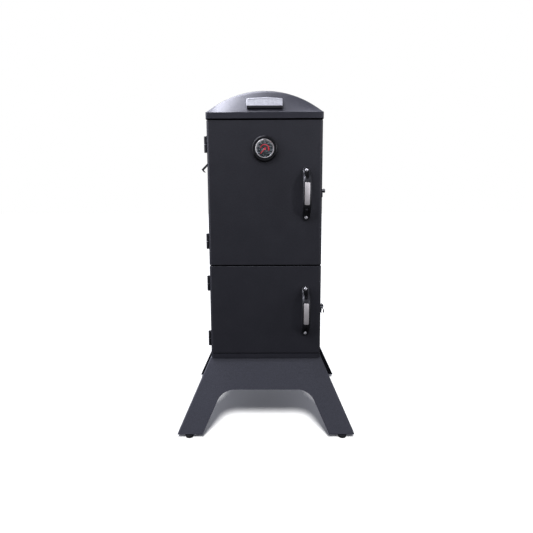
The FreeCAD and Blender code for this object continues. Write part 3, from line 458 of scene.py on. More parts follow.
# The finish of every material slot in the record, then those that only pieces of this script have.
FINISHES = {
    "cabinet_coat": powder_coat("cabinet_powder_coat", (0.026, 0.026, 0.032), 0.44, 1.2, 0.26),
    "door_coat": powder_coat("door_powder_coat", (0.026, 0.026, 0.031), 0.43, 1.2, 0.28),
    "roof_coat": powder_coat("roof_powder_coat", (0.030, 0.030, 0.038), 0.40),
    # Legs: the same black powder coat as the cabinet, coloured lighter to stand in for the overhead light
    # their leaning faces catch: painted light.
    "leg_coat": powder_coat("leg_powder_coat_painted_lighter", (0.045, 0.046, 0.056), 0.47, 1.4, 0.28),
    "liner_steel": brushed("aluminised_liner", (0.56, 0.57, 0.58), 0.36, (1.0, 1.0, 0.03)),
    "badge_metal": plated("cast_badge_metal", (0.72, 0.72, 0.73), 0.44, 0.7),
    "foot_plastic": moulded("foot_nylon", (0.012, 0.012, 0.013), 0.5),
    "zinc_steel": plated("zinc_plate", (0.60, 0.61, 0.62), 0.30),
    "hinge_steel": powder_coat("hinge_black", (0.012, 0.012, 0.014), 0.40),
    "gasket_rope": rope("gasket_braid", (0.20, 0.19, 0.17)),
    "handle_resin": moulded("handle_resin", (0.014, 0.014, 0.016), 0.34),
    "black_bolts": plated("bolt_steel", (0.88, 0.87, 0.85), 0.34, 0.8),
    "insert_steel": brushed("insert_steel", (0.93, 0.88, 0.83), 0.44, (1.0, 1.0, 0.06), 0.7, 700.0),
    "case_black": moulded("gauge_case_gloss", (0.004, 0.004, 0.005), 0.30, 0.00001),
    "ring_chrome": plated("gauge_ring_chrome", (0.90, 0.88, 0.84), 0.30, 0.8),
    "dial_face": printed_dial("gauge_dial_print"),
    "dial_glass": clear_glass("gauge_glass"),
    "needle_red": ink("gauge_red_ink", (0.75, 0.030, 0.050), 0.4),
    "probe_steel": plated("probe_stainless", (0.62, 0.62, 0.60), 0.24),
    "cam_steel": plated("cam_plated_steel", (0.62, 0.62, 0.66), 0.22),
    "catch_casting": powder_coat("catch_base_black", (0.012, 0.012, 0.014), 0.42),
    "grid_wire": plated("chromed_wire", (0.66, 0.66, 0.65), 0.20),
    "pan_enamel": enamel("pan_enamel_black", (0.012, 0.012, 0.014)),
    "basket_steel": plated("basket_heat_steel", (0.30, 0.28, 0.26), 0.46),
    "damper_steel": brushed("damper_steel", (0.58, 0.58, 0.57), 0.32, (1.0, 1.0, 0.05)),
    "opener_coat": powder_coat("opener_coat_black", (0.020, 0.020, 0.024), 0.42),
}
GREY_INK = ink("gauge_grey_ink", (0.32, 0.34, 0.36))
LEVER = moulded("lever_black", (0.012, 0.012, 0.014), 0.36)


# ---- cabinet shell
def cabinet_wrapper():
    """Both sides and the back bent from one sheet, with four ports behind each damper."""
    left, _ = corners("left_side_panel")
    _, back = corners("back_panel")
    half, front, rear = back.x, left.y, back.y
    bend = 4 * MM
    path = [(-half, front)] + arc(-half + bend, rear - bend, bend, 180, 90, 5)
    path += arc(half - bend, rear - bend, bend, 90, 0, 5) + [(half, front)]
    verts = [(x, y, z) for z in (left.z, back.z) for x, y in path]
    sheet = new_object("cabinet_wrapper", verts, grid_faces(2, len(path)))
    solidify(sheet, SHEET, 1.0)
    bake(sheet)
    port, port_circle = ((10, -8), (10, 8)), 24 * MM
    cutters = []
    for node in ("exhaust_damper", "intake_damper"):
        mid = middle(node)
        for k in range(4):
            turn = math.radians(90 * k)
            centre = (mid.x + port_circle * math.cos(turn), rear, mid.z + port_circle * math.sin(turn))
            cutters.append(lathe("port", port, centre, "y", 32))
    carve(sheet, joined("ports", cutters))
    dress(sheet, "cabinet", "cabinet_coat", "left_side_panel", "right_side_panel", "back_panel")


def back_rivets():
    """Blind rivets down both edges of the back."""
    low, high = corners("back_panel")
    profile = ((4.2, 0), (4.2, 0.4), (3.2, 1.3), (1.2, 1.5), (0.9, 0.9), (0, 0.9))
    inset, sunk, rows = 14 * MM, 0.05 * MM, 7
    domes = []
    for x in (low.x + inset, high.x - inset):
        for k in range(rows):
            z = low.z + (high.z - low.z) * (k + 0.5) / rows
            domes.append(lathe("rivet", profile, (x, high.y - sunk, z), "y", 20))
    dress(joined("back_rivets", domes), "cabinet", "zinc_steel")


# ---- roof
def roof_cap():
    """Barrel cap pressed from one sheet: a straight front lip, a leaning visor and the arched top."""
    low, high = corners("roof_cap")
    half, lip, eave = high.x, low.z + 20.5 * MM, low.z + 32.5 * MM
    rise = high.z - eave
    swell = (half * half + rise * rise) / (2 * rise)
    setback, turn_in, bend = 50 * MM, 8 * MM, 7 * MM

    def arch(x):
        return eave - lip + math.sqrt(swell * swell - x * x) - (swell - rise)

    def share(y):
        """How much of the arch's rise is reached at this depth, with a soft bend at the crest."""
        run = y - low.y
        if run < setback - bend:
            return run / setback
        if run > setback + bend:
            return 1.0
        t = (run - setback + bend) / (2 * bend)
        start = (setback - bend) / setback
        return start + (1 - start) * (2 * t - t * t)

    rows = [turn_in * (1 - cosd(a)) for a in range(0, 91, 15)]
    rows += [turn_in + (setback - bend - turn_in) * k / 7 for k in range(1, 8)]
    rows += [setback - bend + 2 * bend * k / 8 for k in range(1, 9)]
    rows += [setback + bend + (high.y - low.y - setback - bend) * k / 14 for k in range(1, 15)]
    columns = 48
    wide = columns + 1
    verts = []
    for run in rows:
        reach = half - corner_inset(turn_in, run)
        y = low.y + run
        for k in range(wide):
            x = reach * (2 * k / columns - 1)
            verts.append((x, y, lip + share(y) * arch(x)))
    faces = grid_faces(len(rows), wide)
    last = (len(rows) - 1) * wide
    rim = list(range(wide)) + [j * wide + columns for j in range(1, len(rows))]
    rim += list(range(last + columns - 1, last - 1, -1)) + [j * wide for j in range(len(rows) - 2, 0, -1)]
    base = len(verts)
    for i in rim:
        verts.append((verts[i][0], verts[i][1], low.z))
    for k in range(len(rim)):
        n = (k + 1) % len(rim)
        faces.append([rim[n], rim[k], base + k, base + n])
    cap = new_object("roof_cap_sheet", verts, faces)
    bevel(cap, 1.6 * MM, 4, 34.0)
    solidify(cap, 1.5 * MM, -1.0)
    dress(cap, "cabinet", "roof_coat", "roof_cap", smooth=30.0)


def badge_plate():
    """A blank cast plate with a crowned top and a raised border, on a black block whose black is partly
    painted shade, standing in for the shade on the badge's lower side.
    """
    low, high = corners("badge_plate")
    half = (high.x - low.x) / 2
    set_back, bulge, radius = 8 * MM, 4 * MM, 3 * MM
    tall = math.hypot(high.z - low.z, set_back)
    lean = math.atan2(set_back, high.z - low.z)

    def crown(inset):
        side, top = half - inset, tall - bulge - inset
        points = arc(-side + radius, inset + radius, radius, 180, 270, 4)
        points += arc(side - radius, inset + radius, radius, 270, 360, 4)
        steps = 16
        for k in range(steps + 1):
            x = side * (1 - 2 * k / steps)
            points.append((x, top + bulge * (1 - (x / side) ** 2)))
        return points

    plate = slab("plate", crown(0.0), "y", 0.0, 7.5 * MM)
    bevel(plate, 1.4 * MM, 4)
    bake(plate)
    carve(plate, slab("tray", crown(3.4 * MM), "y", -2 * MM, 0.6 * MM))
    badge = joined("badge_cast_plate", [plate])
    badge.data.transform(Matrix.Translation((0, low.y, low.z)) @ Matrix.Rotation(-lean, 4, "X"))
    dress(badge, "cabinet", "badge_metal", "badge_plate")
    # The black backing block is partly painted shade: its black stands in for the shade under the badge.
    bevel(NODES["badge_backing"], 1.2 * MM)


# ---- doors
def door_skin(which):
    """Folded door shell, open at the back, with rounded upright edges."""
    low, high = corners(which + "_door_skin")
    turn = 10 * MM
    path = [(low.x, high.y)] + arc(low.x + turn, low.y + turn, turn, 180, 270, 8)
    path += arc(high.x - turn, low.y + turn, turn, 270, 360, 8) + [(high.x, high.y)]
    count = len(path)
    verts = [(x, y, z) for z in (low.z, high.z) for x, y in path]
    faces = grid_faces(2, count) + [list(range(count - 1, -1, -1)), list(range(count, 2 * count))]
    shell = new_object(which + "_door_shell", verts, faces)
    bevel(shell, 1.5 * MM)
    solidify(shell, SHEET, -1.0)
    dress(shell, which + "_door", "door_coat", which + "_door_skin")


def loft(name, loops):
    """Faces between loops that have the same number of points, with the last loop filled."""
    count = len(loops[0])
    verts = [p for loop in loops for p in loop]
    last = (len(loops) - 1) * count
    return new_object(name, verts, band_faces(len(loops), count) + [list(range(last, last + count))])


# The pressed panel of a door liner from its edge inwards: (inset, lift, corner radius) in millimetres. The
# first is the liner's own edge and the others are set in from the gasket's.
PRESSED_PANEL = ((0.0, 0.0, 4.0), (20.0, 0.0, 10.0), (22.0, 0.6, 10.0), (27.0, 4.6, 9.0), (29.5, 5.2, 8.0))


def door_liner(which):
    """Inner door sheet with a shallow pressed panel and a row of screws down each side."""
    low, high = corners(which + "_door_liner")
    gasket = corners(which + "_door_gasket")
    loops = []
    for inset, lift, radius in PRESSED_PANEL:
        near, far = gasket if inset else (low, high)
        d = inset * MM
        outline = box_outline(near.x + d, far.x - d, near.z + d, far.z - d, radius * MM)
        loops.append([(x, high.y + lift * MM, z) for x, z in outline])
    sheet = loft(which + "_door_inner_sheet", loops)
    solidify(sheet, 1.0 * MM, 1.0)
    dress(sheet, which + "_door", "liner_steel", which + "_door_liner", smooth=25.0)
    profile = ((3.6, 0), (3.4, 1.2), (1.4, 1.9), (1.1, 0.9), (0, 0.9))
    edge, rows = 6 * MM, 5
    screws = []
    for x in (low.x + edge, high.x - edge):
        for k in range(rows):
            z = low.z + (high.z - low.z) * (0.06 + 0.88 * k / (rows - 1))
            screws.append(lathe("screw", profile, (x, high.y, z), "y", 18))
    dress(joined(which + "_door_liner_screws", screws), which + "_door", "zinc_steel")


def door_gasket(which):
    """Flattened braided rope laid in a rounded rectangle."""
    low, high = corners(which + "_door_gasket")
    half, stitch = 4 * MM, 12 * MM
    turns = box_outline(low.x + half, high.x - half, low.z + half, high.z - half, 12 * MM, 7)
    path = []
    for i, (x, z) in enumerate(turns):
        nx, nz = turns[(i + 1) % len(turns)]
        run = math.hypot(nx - x, nz - z)
        steps = max(1, int(run / stitch))
        for k in range(steps):
            path.append((x + (nx - x) * k / steps, (low.y + high.y) / 2, z + (nz - z) * k / steps))
    flat = (high.y - low.y) / (2 * half)
    braid = tube(which + "_door_rope", path, half, True, 12, flat, Vector((0, 1, 0)))
    dress(braid, which + "_door", "gasket_rope", which + "_door_gasket", smooth=60.0)


# ---- handles
# Pairs of front and back points from the end of a handle to its middle: (reach off the door, part of half
# length) in front, then the same behind.
HANDLE_PAIRS = (
    ((12.0, 1.000), (0.0, 1.000)), ((12.5, 0.955), (0.0, 0.955)), ((13.4, 0.890), (0.0, 0.880)),
    ((20.5, 0.800), (0.0, 0.770)), ((32.5, 0.720), (7.5, 0.640)), ((44.0, 0.635), (18.5, 0.560)),
    ((52.0, 0.540), (30.0, 0.460)), ((56.2, 0.430), (38.0, 0.350)), ((58.7, 0.270), (42.2, 0.220)),
    ((59.7, 0.120), (43.8, 0.100)), ((60.0, 0.000), (44.0, 0.000)))
HANDLE_HALF = 93.5
# How far the bolts stand from the middle of a handle and how deep they sit off the door, in millimetres.
BOLT_REACH, BOLT_SEAT = 83.0, 11.0


def smooth_line(points, steps):
    """Catmull-Rom points through a list of tuples."""
    out = []
    count = len(points)
    for i in range(count - 1):
        four = [points[max(0, i - 1)], points[i], points[i + 1], points[min(count - 1, i + 2)]]
        for k in range(steps):
            t = k / steps
            weights = (-0.5 * t + t * t - 0.5 * t ** 3, 1 - 2.5 * t * t + 1.5 * t ** 3,
                       0.5 * t + 2 * t * t - 1.5 * t ** 3, -0.5 * t * t + 0.5 * t ** 3)
            out.append(tuple(sum(w * p[a] for w, p in zip(weights, four)) for a in range(len(points[0]))))
    out.append(tuple(points[-1]))
    return out


def handle_line():
    """Front and back of the bow from top to bottom: (front reach, front height, back reach, back height)."""
    half = [(f[0], f[1] * HANDLE_HALF, b[0], b[1] * HANDLE_HALF) for f, b in HANDLE_PAIRS]
    line = half + [(f, -u, b, -v) for f, u, b, v in half[-2::-1]]
    return smooth_line(line, 5)


def handle(which):
    """Moulded bow handle with a scooped bolt seat at each end of the grip."""
    node = which + "_door_handle"
    mid, face = middle(node), corners(node)[1].y
    half_wide, slim, slim_from = 15.5, 1.8, 0.45
    end_round, end_wide = 13.0, 1.2
    sides, squareness = 28, 0.55
    line = handle_line()
    verts = []
    for front, up, back, down in line:
        reach = abs(up) / HANDLE_HALF
        wide = half_wide - slim * max(0.0, (reach - slim_from) / (1 - slim_from))
        edge = HANDLE_HALF - abs(up)
        if edge < end_round:
            wide = min(wide, math.sqrt(max(0.0, end_round ** 2 - (end_round - edge) ** 2)) + end_wide)
        a = Vector((0, face - front * MM, mid.z + up * MM))
        b = Vector((0, face - max(back, 0.0) * MM, mid.z + down * MM))
        centre, arm = (a + b) / 2, (a - b) / 2
        for k in range(sides):
            turn = 2 * math.pi * k / sides
            c, s = math.cos(turn), math.sin(turn)
            x = math.copysign(abs(c) ** squareness, c) * wide * MM
            d = math.copysign(abs(s) ** squareness, s)
            verts.append(Vector((mid.x + x, 0, 0)) + centre + arm * d)
    faces = band_faces(len(line), sides) + end_faces(len(line), sides)
    bow = solid(which + "_bow_handle", verts, faces)
    foot, round_top, round_foot = 56.5, 8.6, 6.0
    for sign, start in ((1, 0), (-1, 180)):
        seat = arc(0, sign * BOLT_REACH, round_top, start, start + 180, 14)
        seat += arc(0, sign * foot, round_foot, 180 - start, 360 - start, 10)
        outline = [(mid.x + a * MM, mid.z + b * MM) for a, b in seat]
        carve(bow, slab("scoop", outline, "y", face - 70 * MM, face - BOLT_SEAT * MM))
    bevel(bow, 0.7 * MM, 2, 40.0)
    dress(bow, which + "_door", "handle_resin", which + "_door_handle", smooth=44.0)


def handle_bolts(which):
    """Button-head bolts with a hexagon socket, seated in the scoops."""
    mid = middle(which + "_handle_bolts")
    seat = corners(which + "_door_skin")[0].y - BOLT_SEAT * MM
    button = [(6.0, 0), (6.0, -0.9)]
    button += [(6.0 * cosd(a), -0.9 - 2.4 * sind(a))
               for a in range(12, 73, 12)]
    button += [(0, -3.4)]
    heads = []
    for z in (mid.z - BOLT_REACH * MM, mid.z + BOLT_REACH * MM):
        centre = (mid.x, seat, z)
        dome = lathe("dome", button, centre, "y", 40)
        carve(dome, lathe("socket", ((1.9, -5), (1.9, -1.6)), centre, "y", 6))
        shank = lathe("shank", ((3, 0.3), (3, 19)), centre, "y", 20)
        nut = lathe("nut", ((5.5, 12.2), (5.5, 17)), centre, "y", 6)
        heads += [dome, shank, nut]
    dress(joined(which + "_button_bolts", heads), which + "_door", "black_bolts", which + "_handle_bolts")


def handle_insert(which):
    """Brushed metal plate let into the grip, following its bow."""
    mid = middle(which + "_handle_insert")
    face = corners(which + "_door_skin")[0].y
    line = sorted((up, front) for front, up, _, _ in handle_line())

    def reach(z):
        """How far the grip's front stands off the door at this height."""
        (a, fa), (b, fb) = next(pair for pair in zip(line, line[1:]) if pair[0][0] <= z <= pair[1][0])
        return fa + (fb - fa) * (z - a) / max(b - a, 1e-6)

    half_high, half_wide, corner = 38.4, 8.8, 3.5
    furthest, proud, crown = 60.3, 0.3, 0.7
    rows = [-half_high + corner * (1 - cosd(a)) for a in range(0, 90, 18)]
    rows += [-half_high + corner + (2 * half_high - 2 * corner) * k / 24 for k in range(25)]
    rows += [-row for row in rows[4::-1]]
    across = 8
    verts = []
    for z in rows:
        inset = corner_inset(corner, half_high - abs(z))
        for k in range(across + 1):
            u = 2 * k / across - 1
            y = face - min(furthest, reach(z) + proud - crown * u * u) * MM
            verts.append((mid.x + (half_wide - inset) * u * MM, y, mid.z + z * MM))
    plate = new_object(which + "_grip_plate", verts, grid_faces(len(rows), across + 1))
    solidify(plate, 1.2 * MM, 0.0)
    bevel(plate, 0.35 * MM, 2, 50.0)
    dress(plate, which + "_door", "insert_steel", which + "_handle_insert")


# ---- thermometer
# Printed marks float this far off the door, in millimetres. The scale starts low on the left, in degrees.
DIAL_LIFT = 8.15
DIAL_START, DIAL_SWEEP = -135, 270
NEEDLE_REST = 42


def gauge_round(name, rim, centre, slot, node):
    """A turned part of the gauge that stands for one CAD node."""
    dress(lathe(name, rim, centre, "y", 96), "upper_door", slot, node)


def gauge_case(centre):
    rim = [(45.0, -0.2), (45.0, -9.0)]
    rim += [(40.6 + 4.4 * cosd(a), -9.6 - 5.3 * sind(a))
            for a in range(10, 91, 10)]
    rim += [(34.9, -14.9), (33.7, -14.0), (33.2, -12.0), (33.2, -2.0), (3.2, -2.0), (3.2, -0.2), (45.0, -0.2)]
    gauge_round("gauge_bezel", rim, centre, "case_black", "thermometer_case")


def gauge_ring(centre):
    rim = [(33.0, -8.0), (33.0, -15.2), (32.6, -17.2), (31.4, -18.3), (30.2, -18.0), (29.2, -16.6),
           (28.7, -14.0), (28.5, -8.0), (33.0, -8.0)]
    gauge_round("gauge_chrome_ring", rim, centre, "ring_chrome", "thermometer_ring")


def gauge_dial(centre):
    rim = [(1.5, -2.0), (32.8, -2.0), (32.8, -7.6), (28.8, -7.6), (28.2, -8.0), (1.5, -8.0), (1.5, -2.0)]
    gauge_round("gauge_dial_plate", rim, centre, "dial_face", "thermometer_dial")


def dial_point(centre, radius, degrees):
    """A point on the dial; degrees run clockwise from the top, as seen from the front."""
    turn = math.radians(degrees)
    return Vector((centre.x + radius * MM * math.sin(turn), centre.y - DIAL_LIFT * MM,
                   centre.z + radius * MM * math.cos(turn)))


def dial_quad(centre, inner, outer, start, end):
    """Four points of a mark between two radii and two angles."""
    return [dial_point(centre, inner, start), dial_point(centre, inner, end),
            dial_point(centre, outer, end), dial_point(centre, outer, start)]


def flat_marks(name, quads, material):
    """Thin printed marks: each quad is four points on the dial."""
    verts = [point for quad in quads for point in quad]
    faces = [[base, base + 1, base + 2, base + 3] for base in range(0, len(verts), 4)]
    marks = new_object(name, verts, faces)
    solidify(marks, 0.12 * MM, 0.0)
    dress(marks, "upper_door", "dial_face", material=material)


def gauge_marks(centre):
    """The scale's ticks and its outer line, then the red band that widens as it turns."""
    quads = []
    tick_outer = 26.4
    for k in range(41):
        degrees = DIAL_START + DIAL_SWEEP * k / 40
        inner, wide = (23.4, 1.2) if k % 5 == 0 else (24.8, 0.6)
        spread = math.degrees(wide / 2 / tick_outer)
        quads.append(dial_quad(centre, inner, tick_outer, degrees - spread, degrees + spread))
    for k in range(60):
        degrees = DIAL_START + DIAL_SWEEP * k / 60
        quads.append(dial_quad(centre, 26.9, 27.4, degrees, degrees + DIAL_SWEEP / 60))
    flat_marks("gauge_scale_marks", quads, GREY_INK)
    quads = []
    count, outer = 48, 16.2
    for k in range(count):
        a, b = -75 + 192 * k / count, -75 + 192 * (k + 1) / count
        wide_a, wide_b = 1.9 + 2.3 * k / count, 1.9 + 2.3 * (k + 1) / count
        quads.append([dial_point(centre, outer - wide_a, a), dial_point(centre, outer - wide_b, b),
                      dial_point(centre, outer, b), dial_point(centre, outer, a)])
    flat_marks("gauge_red_band", quads, FINISHES["needle_red"])


def gauge_numbers(centre):
    """Temperature numbers round the dial."""
    parts = []
    for k in range(9):
        text = bpy.data.curves.new("number", "FONT")
        text.body = str(100 + 50 * k)
        text.size = 5.0 * MM
        text.align_x = "CENTER"
        text.align_y = "CENTER"
        text.extrude = 0.05 * MM
        label = add_object("number", text)
        spot = dial_point(centre, 21.2, DIAL_START + DIAL_SWEEP * k / 8)
        label.matrix_world = Matrix.Translation(spot) @ Matrix.Rotation(math.radians(90), 4, "X")
        bpy.context.view_layer.update()
        mesh = baked_mesh(label)
        mesh.transform(label.matrix_world)
        bpy.data.objects.remove(label)
        parts.append(add_object("number_mesh", mesh))
    dress(joined("gauge_numbers", parts), "upper_door", "dial_face", material=GREY_INK)


def gauge_lens(centre):
    rim = [(0, -12.0), (28.4, -12.0), (28.4, -12.8)]
    rim += [(28.4 * (1 - k / 8), -12.8 - 0.7 * sind(90 * k / 8)) for k in range(1, 8)]
    rim += [(0, -13.5)]
    gauge_round("gauge_window", rim, centre, "dial_glass", "thermometer_lens")


def gauge_needle(centre):
    """Pointer at rest, low on the left, with a tail and a domed hub."""
    outline = ((-1.0, 5.5), (-1.5, 3.0), (-1.2, -12.0), (-0.8, -22.5), (0.8, -22.5), (1.2, -12.0),
               (1.5, 3.0), (1.0, 5.5))
    blade = slab("blade", in_metres(outline), "y", -10.0 * MM, -9.2 * MM)
    bevel(blade, 0.2 * MM, 2)
    dome = ((4.0, -8.8), (4.0, -10.3), (3.1, -10.9), (1.3, -11.1), (0, -11.1))
    hub = lathe("hub", dome, (0, 0, 0), "y", 32)
    post = lathe("post", ((1.4, -8.9), (1.4, -3.0)), (0, 0, 0), "y", 16)
    needle = joined("gauge_pointer", [blade, hub, post])
    rest = Matrix.Rotation(math.radians(NEEDLE_REST), 4, "Y")
    needle.data.transform(Matrix.Translation(centre) @ rest)
    dress(needle, "needle", "needle_red", "thermometer_needle")


def thermometer():
    """Every part of the gauge, about its middle on the door's face."""
    centre = middle("thermometer_case")
    centre.y = corners("thermometer_case")[1].y
    for make in (gauge_case, gauge_ring, gauge_dial, gauge_marks, gauge_numbers, gauge_lens, gauge_needle):
        make(centre)


# ---- hinges and catches
# Heights of the hinges' joints, and the hinges' sizes beside the door's edge, all in millimetres.
HINGE_HEIGHTS = {"upper": (1061.0, 713.0), "lower": (555.0, 342.0)}
PIN_X, PIN_Y = -212.0, -172.0
LEAF_FACE, LEAF_BACK, LEAF_WIDE = -207.0, -205.02, 22.0


def hinge_half(joint, above):
    """Knuckle, leaf and two rivets of one side of a hinge; the moving side is above its joint."""
    sign = 1 if above else -1
    near, far = joint + sign * 0.75, joint + sign * 28.5
    profile = ((6.1, near), (6.5, near + sign * 0.4), (6.5, far - sign * 1.2), (6.1, far - sign * 0.4),
               (5.2, far))
    knuckle = lathe("knuckle", profile, (PIN_X * MM, PIN_Y * MM, 0), "z", 32)
    edge = PIN_Y - sign * LEAF_WIDE
    y0, y1 = sorted((edge * MM, PIN_Y * MM))
    z0, z1 = sorted((near * MM, far * MM))
    leaf = slab("leaf", box_outline(y0, y1, z0, z1, 2 * MM, 3), "x", LEAF_FACE * MM, LEAF_BACK * MM)
    bevel(leaf, 0.4 * MM, 2)
    rivet = ((2.8, 0), (2.6, -0.7), (1.4, -1.3), (0, -1.4))
    y = (edge + sign * 7.5) * MM
    rivets = [lathe("rivet", rivet, (LEAF_FACE * MM, y, (near + (far - near) * part) * MM), "x", 16)
              for part in (0.28, 0.72)]
    return [knuckle, leaf] + rivets


def hinges():
    fixed = []
    for which, joints in HINGE_HEIGHTS.items():
        moving = []
        for joint in joints:
            fixed += hinge_half(joint, False)
            moving += hinge_half(joint, True)
        dress(joined(which + "_door_hinges", moving), which + "_door", "hinge_steel",
              which + "_door_hinge_leaves")
    dress(joined("cabinet_hinges", fixed), "cabinet", "hinge_steel", "cabinet_hinge_leaves")


# Turn of each catch about its shaft at rest: hanging at 0, pointing backwards at 90.
CATCH_TURNS = {"upper": 90.0, "lower": 0.0}


def swung(which, name, parts, pivot):
    """Join pieces drawn hanging from the origin, turn them and carry them to the shaft."""
    made = joined(name, parts)
    turn = Matrix.Rotation(math.radians(CATCH_TURNS[which]), 4, "X")
    made.data.transform(Matrix.Translation(pivot) @ turn)
    return made


def catch_lever(which, pivot):
    """Bowed thumb lever with a waisted neck and a rounded tip."""
    neck = [(8.9, -6.4), (8.9, 0.0), (13.0, 0.0), (13.0, -6.4)]
    outer = smooth_line([(13.0, -7.0), (16.0, -11.5), (18.0, -17.0), (17.9, -22.0), (16.8, -25.6)], 3)
    tip = [(15.9, -26.1), (14.9, -25.6)]
    inner = smooth_line([(14.6, -22.5), (14.7, -18.0), (13.4, -13.0), (11.4, -9.6), (8.9, -7.2)], 3)
    blade = slab("blade", in_metres(neck + outer + tip + inner), "y", -6 * MM, 6 * MM)
    bevel(blade, 1.0 * MM)
    rim = ((3.6, 8.95), (7.0, 8.95), (7.5, 9.5), (7.5, 12.4), (6.9, 13.0), (3.6, 13.0), (3.6, 8.95))
    hub = lathe("hub", rim, (0, 0, 0), "x", 32)
    lever = swung(which, which + "_turn_lever", [blade, hub], pivot)
    dress(lever, which + "_catch", "handle_resin", which + "_catch_lever", material=LEVER)


def catch_cam(which, pivot):
    """Plated plate with an open notch for the stud and a short tail above the shaft."""
    reach, notch = 20.0, 3.8
    outline = [(-6.0, 6.0), (-6.0, notch - reach), (-0.5, notch - reach)]
    outline += [(-0.5 + notch * sind(a), notch * cosd(a) - reach)
                for a in range(15, 166, 15)]
    outline += [(-0.5, -notch - reach), (-6.0, -notch - reach), (-3.5, -7.0 - reach), (3.5, -7.0 - reach),
                (6.0, -3.5 - reach), (6.0, 6.0)]
    outline += arc(0, 6.0, 6.0, 0, 180, 12)[1:-1]
    plate = slab("plate", in_metres(outline), "x", 6.4 * MM, 8.9 * MM)
    bevel(plate, 0.5 * MM)
    cam = swung(which, which + "_cam_plate", [plate], pivot)
    dress(cam, which + "_catch", "cam_steel", which + "_catch_cam")


def catches():
    """Both side catches: fixed housings and shafts, and a lever and a cam that turn."""
    bases, shafts = [], []
    wall = corners("right_side_panel")[1].x
    profile = ((3.4, 5.0), (3.4, 13.4), (5.6, 13.4), (6.0, 13.8), (6.0, 14.6), (4.8, 15.2), (2.2, 15.4),
               (0, 15.4))
    for which in ("upper", "lower"):
        pivot = Vector((wall, -158 * MM, middle(which + "_keeper_stud").z))
        y0, y1, z0, z1 = pivot.y - 9 * MM, pivot.y + 12 * MM, pivot.z - 24 * MM, pivot.z + 6 * MM
        body = slab("body", box_outline(y0, y1, z0, z1, 5 * MM), "x", wall, wall + 6 * MM)
        bevel(body, 1.6 * MM)
        bases.append(body)
        shafts.append(lathe("shaft", profile, pivot, "x", 32))
        catch_lever(which, pivot)
        catch_cam(which, pivot)
    dress(joined("catch_housings", bases), "cabinet", "catch_casting", "catch_bases")
    dress(joined("catch_shafts", shafts), "cabinet", "catch_casting", material=FINISHES["cam_steel"])


# ---- base
# Leg panel in millimetres: height and half width of its top and its feet, and how far each stands out from
# the cabinet's middle.
LEG_TOP, LEG_TOP_HALF, LEG_TOP_OUT = 275.0, 208.5, 199.5
LEG_FOOT, LEG_FOOT_HALF, LEG_FOOT_OUT = 16.0, 323.2, 302.5


def leg_outline():
    """Front view of a leg panel: outer edges, feet and the arch between them, in millimetres."""
    arch_top, arch_foot, arch_high, round_ = 162.5, 231.0, 163.8, 68.0
    drift = (arch_foot - arch_top) / (arch_high - LEG_FOOT)
    spread = math.sqrt(1 + drift * drift)
    mid_x = arch_top - round_ * (spread - drift)
    mid_z = arch_high - round_
    lean = math.degrees(math.atan(drift))
    side = arc(mid_x, mid_z, round_, 90, lean, 14)
    outline = [(-LEG_FOOT_HALF, LEG_FOOT), (-arch_foot, LEG_FOOT)] + [(-x, z) for x, z in side[::-1]]
    outline += side + [(arch_foot, LEG_FOOT), (LEG_FOOT_HALF, LEG_FOOT)]
    outline += [(LEG_TOP_HALF, LEG_TOP), (-LEG_TOP_HALF, LEG_TOP)]
    return outline


def leg_panel(name, node, sign):
    """Bent sheet: the splayed face with its arch, folded back along both sides, the top and the feet."""
    slope = (LEG_FOOT_OUT - LEG_TOP_OUT) / (LEG_TOP - LEG_FOOT)

    def spot(x, z, back=0.0):
        return (x * MM, sign * (LEG_TOP_OUT + (LEG_TOP - z) * slope - back) * MM, z * MM)

    outline = leg_outline()
    verts = [spot(x, z) for x, z in outline]
    count = len(outline)
    faces = [list(range(count))]
    # Each fold: the two points of its edge, how far it goes back and how much shorter its ends are.
    folds = ((0, 1, 34.0, 0.0), (count - 4, count - 3, 34.0, 0.0), (count - 3, count - 2, 28.0, 2.0),
             (count - 1, 0, 28.0, 2.0))
    for a, b, back, trim in folds:
        base = len(verts)
        for x, z in (outline[a], outline[b]):
            verts.append(spot(x, z + (trim if z == LEG_FOOT else -trim), back - trim))
        faces.append([a, b, base + 1, base])
    base = len(verts)
    verts += [spot(LEG_TOP_HALF, LEG_TOP, 44.0), spot(-LEG_TOP_HALF, LEG_TOP, 44.0)]
    faces.append([count - 2, count - 1, base + 1, base])
    sheet = new_object(name, verts, faces)
    bm = bmesh.new()
    bm.from_mesh(sheet.data)
    bmesh.ops.recalc_face_normals(bm, faces=bm.faces)
    bm.faces.ensure_lookup_table()
    if bm.faces[0].normal.y * sign < 0:
        bmesh.ops.reverse_faces(bm, faces=bm.faces)
    bm.to_mesh(sheet.data)
    bm.free()
    bevel(sheet, 4.0 * MM, 5, 25.0)
    solidify(sheet, 2.5 * MM, -1.0)
    dress(sheet, "cabinet", "leg_coat", node, smooth=34.0)


def glide_feet():
    rim = ((0, 0), (7.0, 0.0), (11.5, 1.0), (14.6, 4.2), (15.5, 7.6), (15.2, 10.4), (13.4, 12.6),
           (10.0, 13.6), (9.6, 15.98), (0, 15.98))
    radius = 15.5 * MM
    low, high = corners("glide_feet")
    feet = [lathe("foot", rim, (x, y, 0), "z", 40)
            for x in (low.x + radius, high.x - radius) for y in (low.y + radius, high.y - radius)]
    dress(joined("nylon_feet", feet), "cabinet", "foot_plastic", "glide_feet")


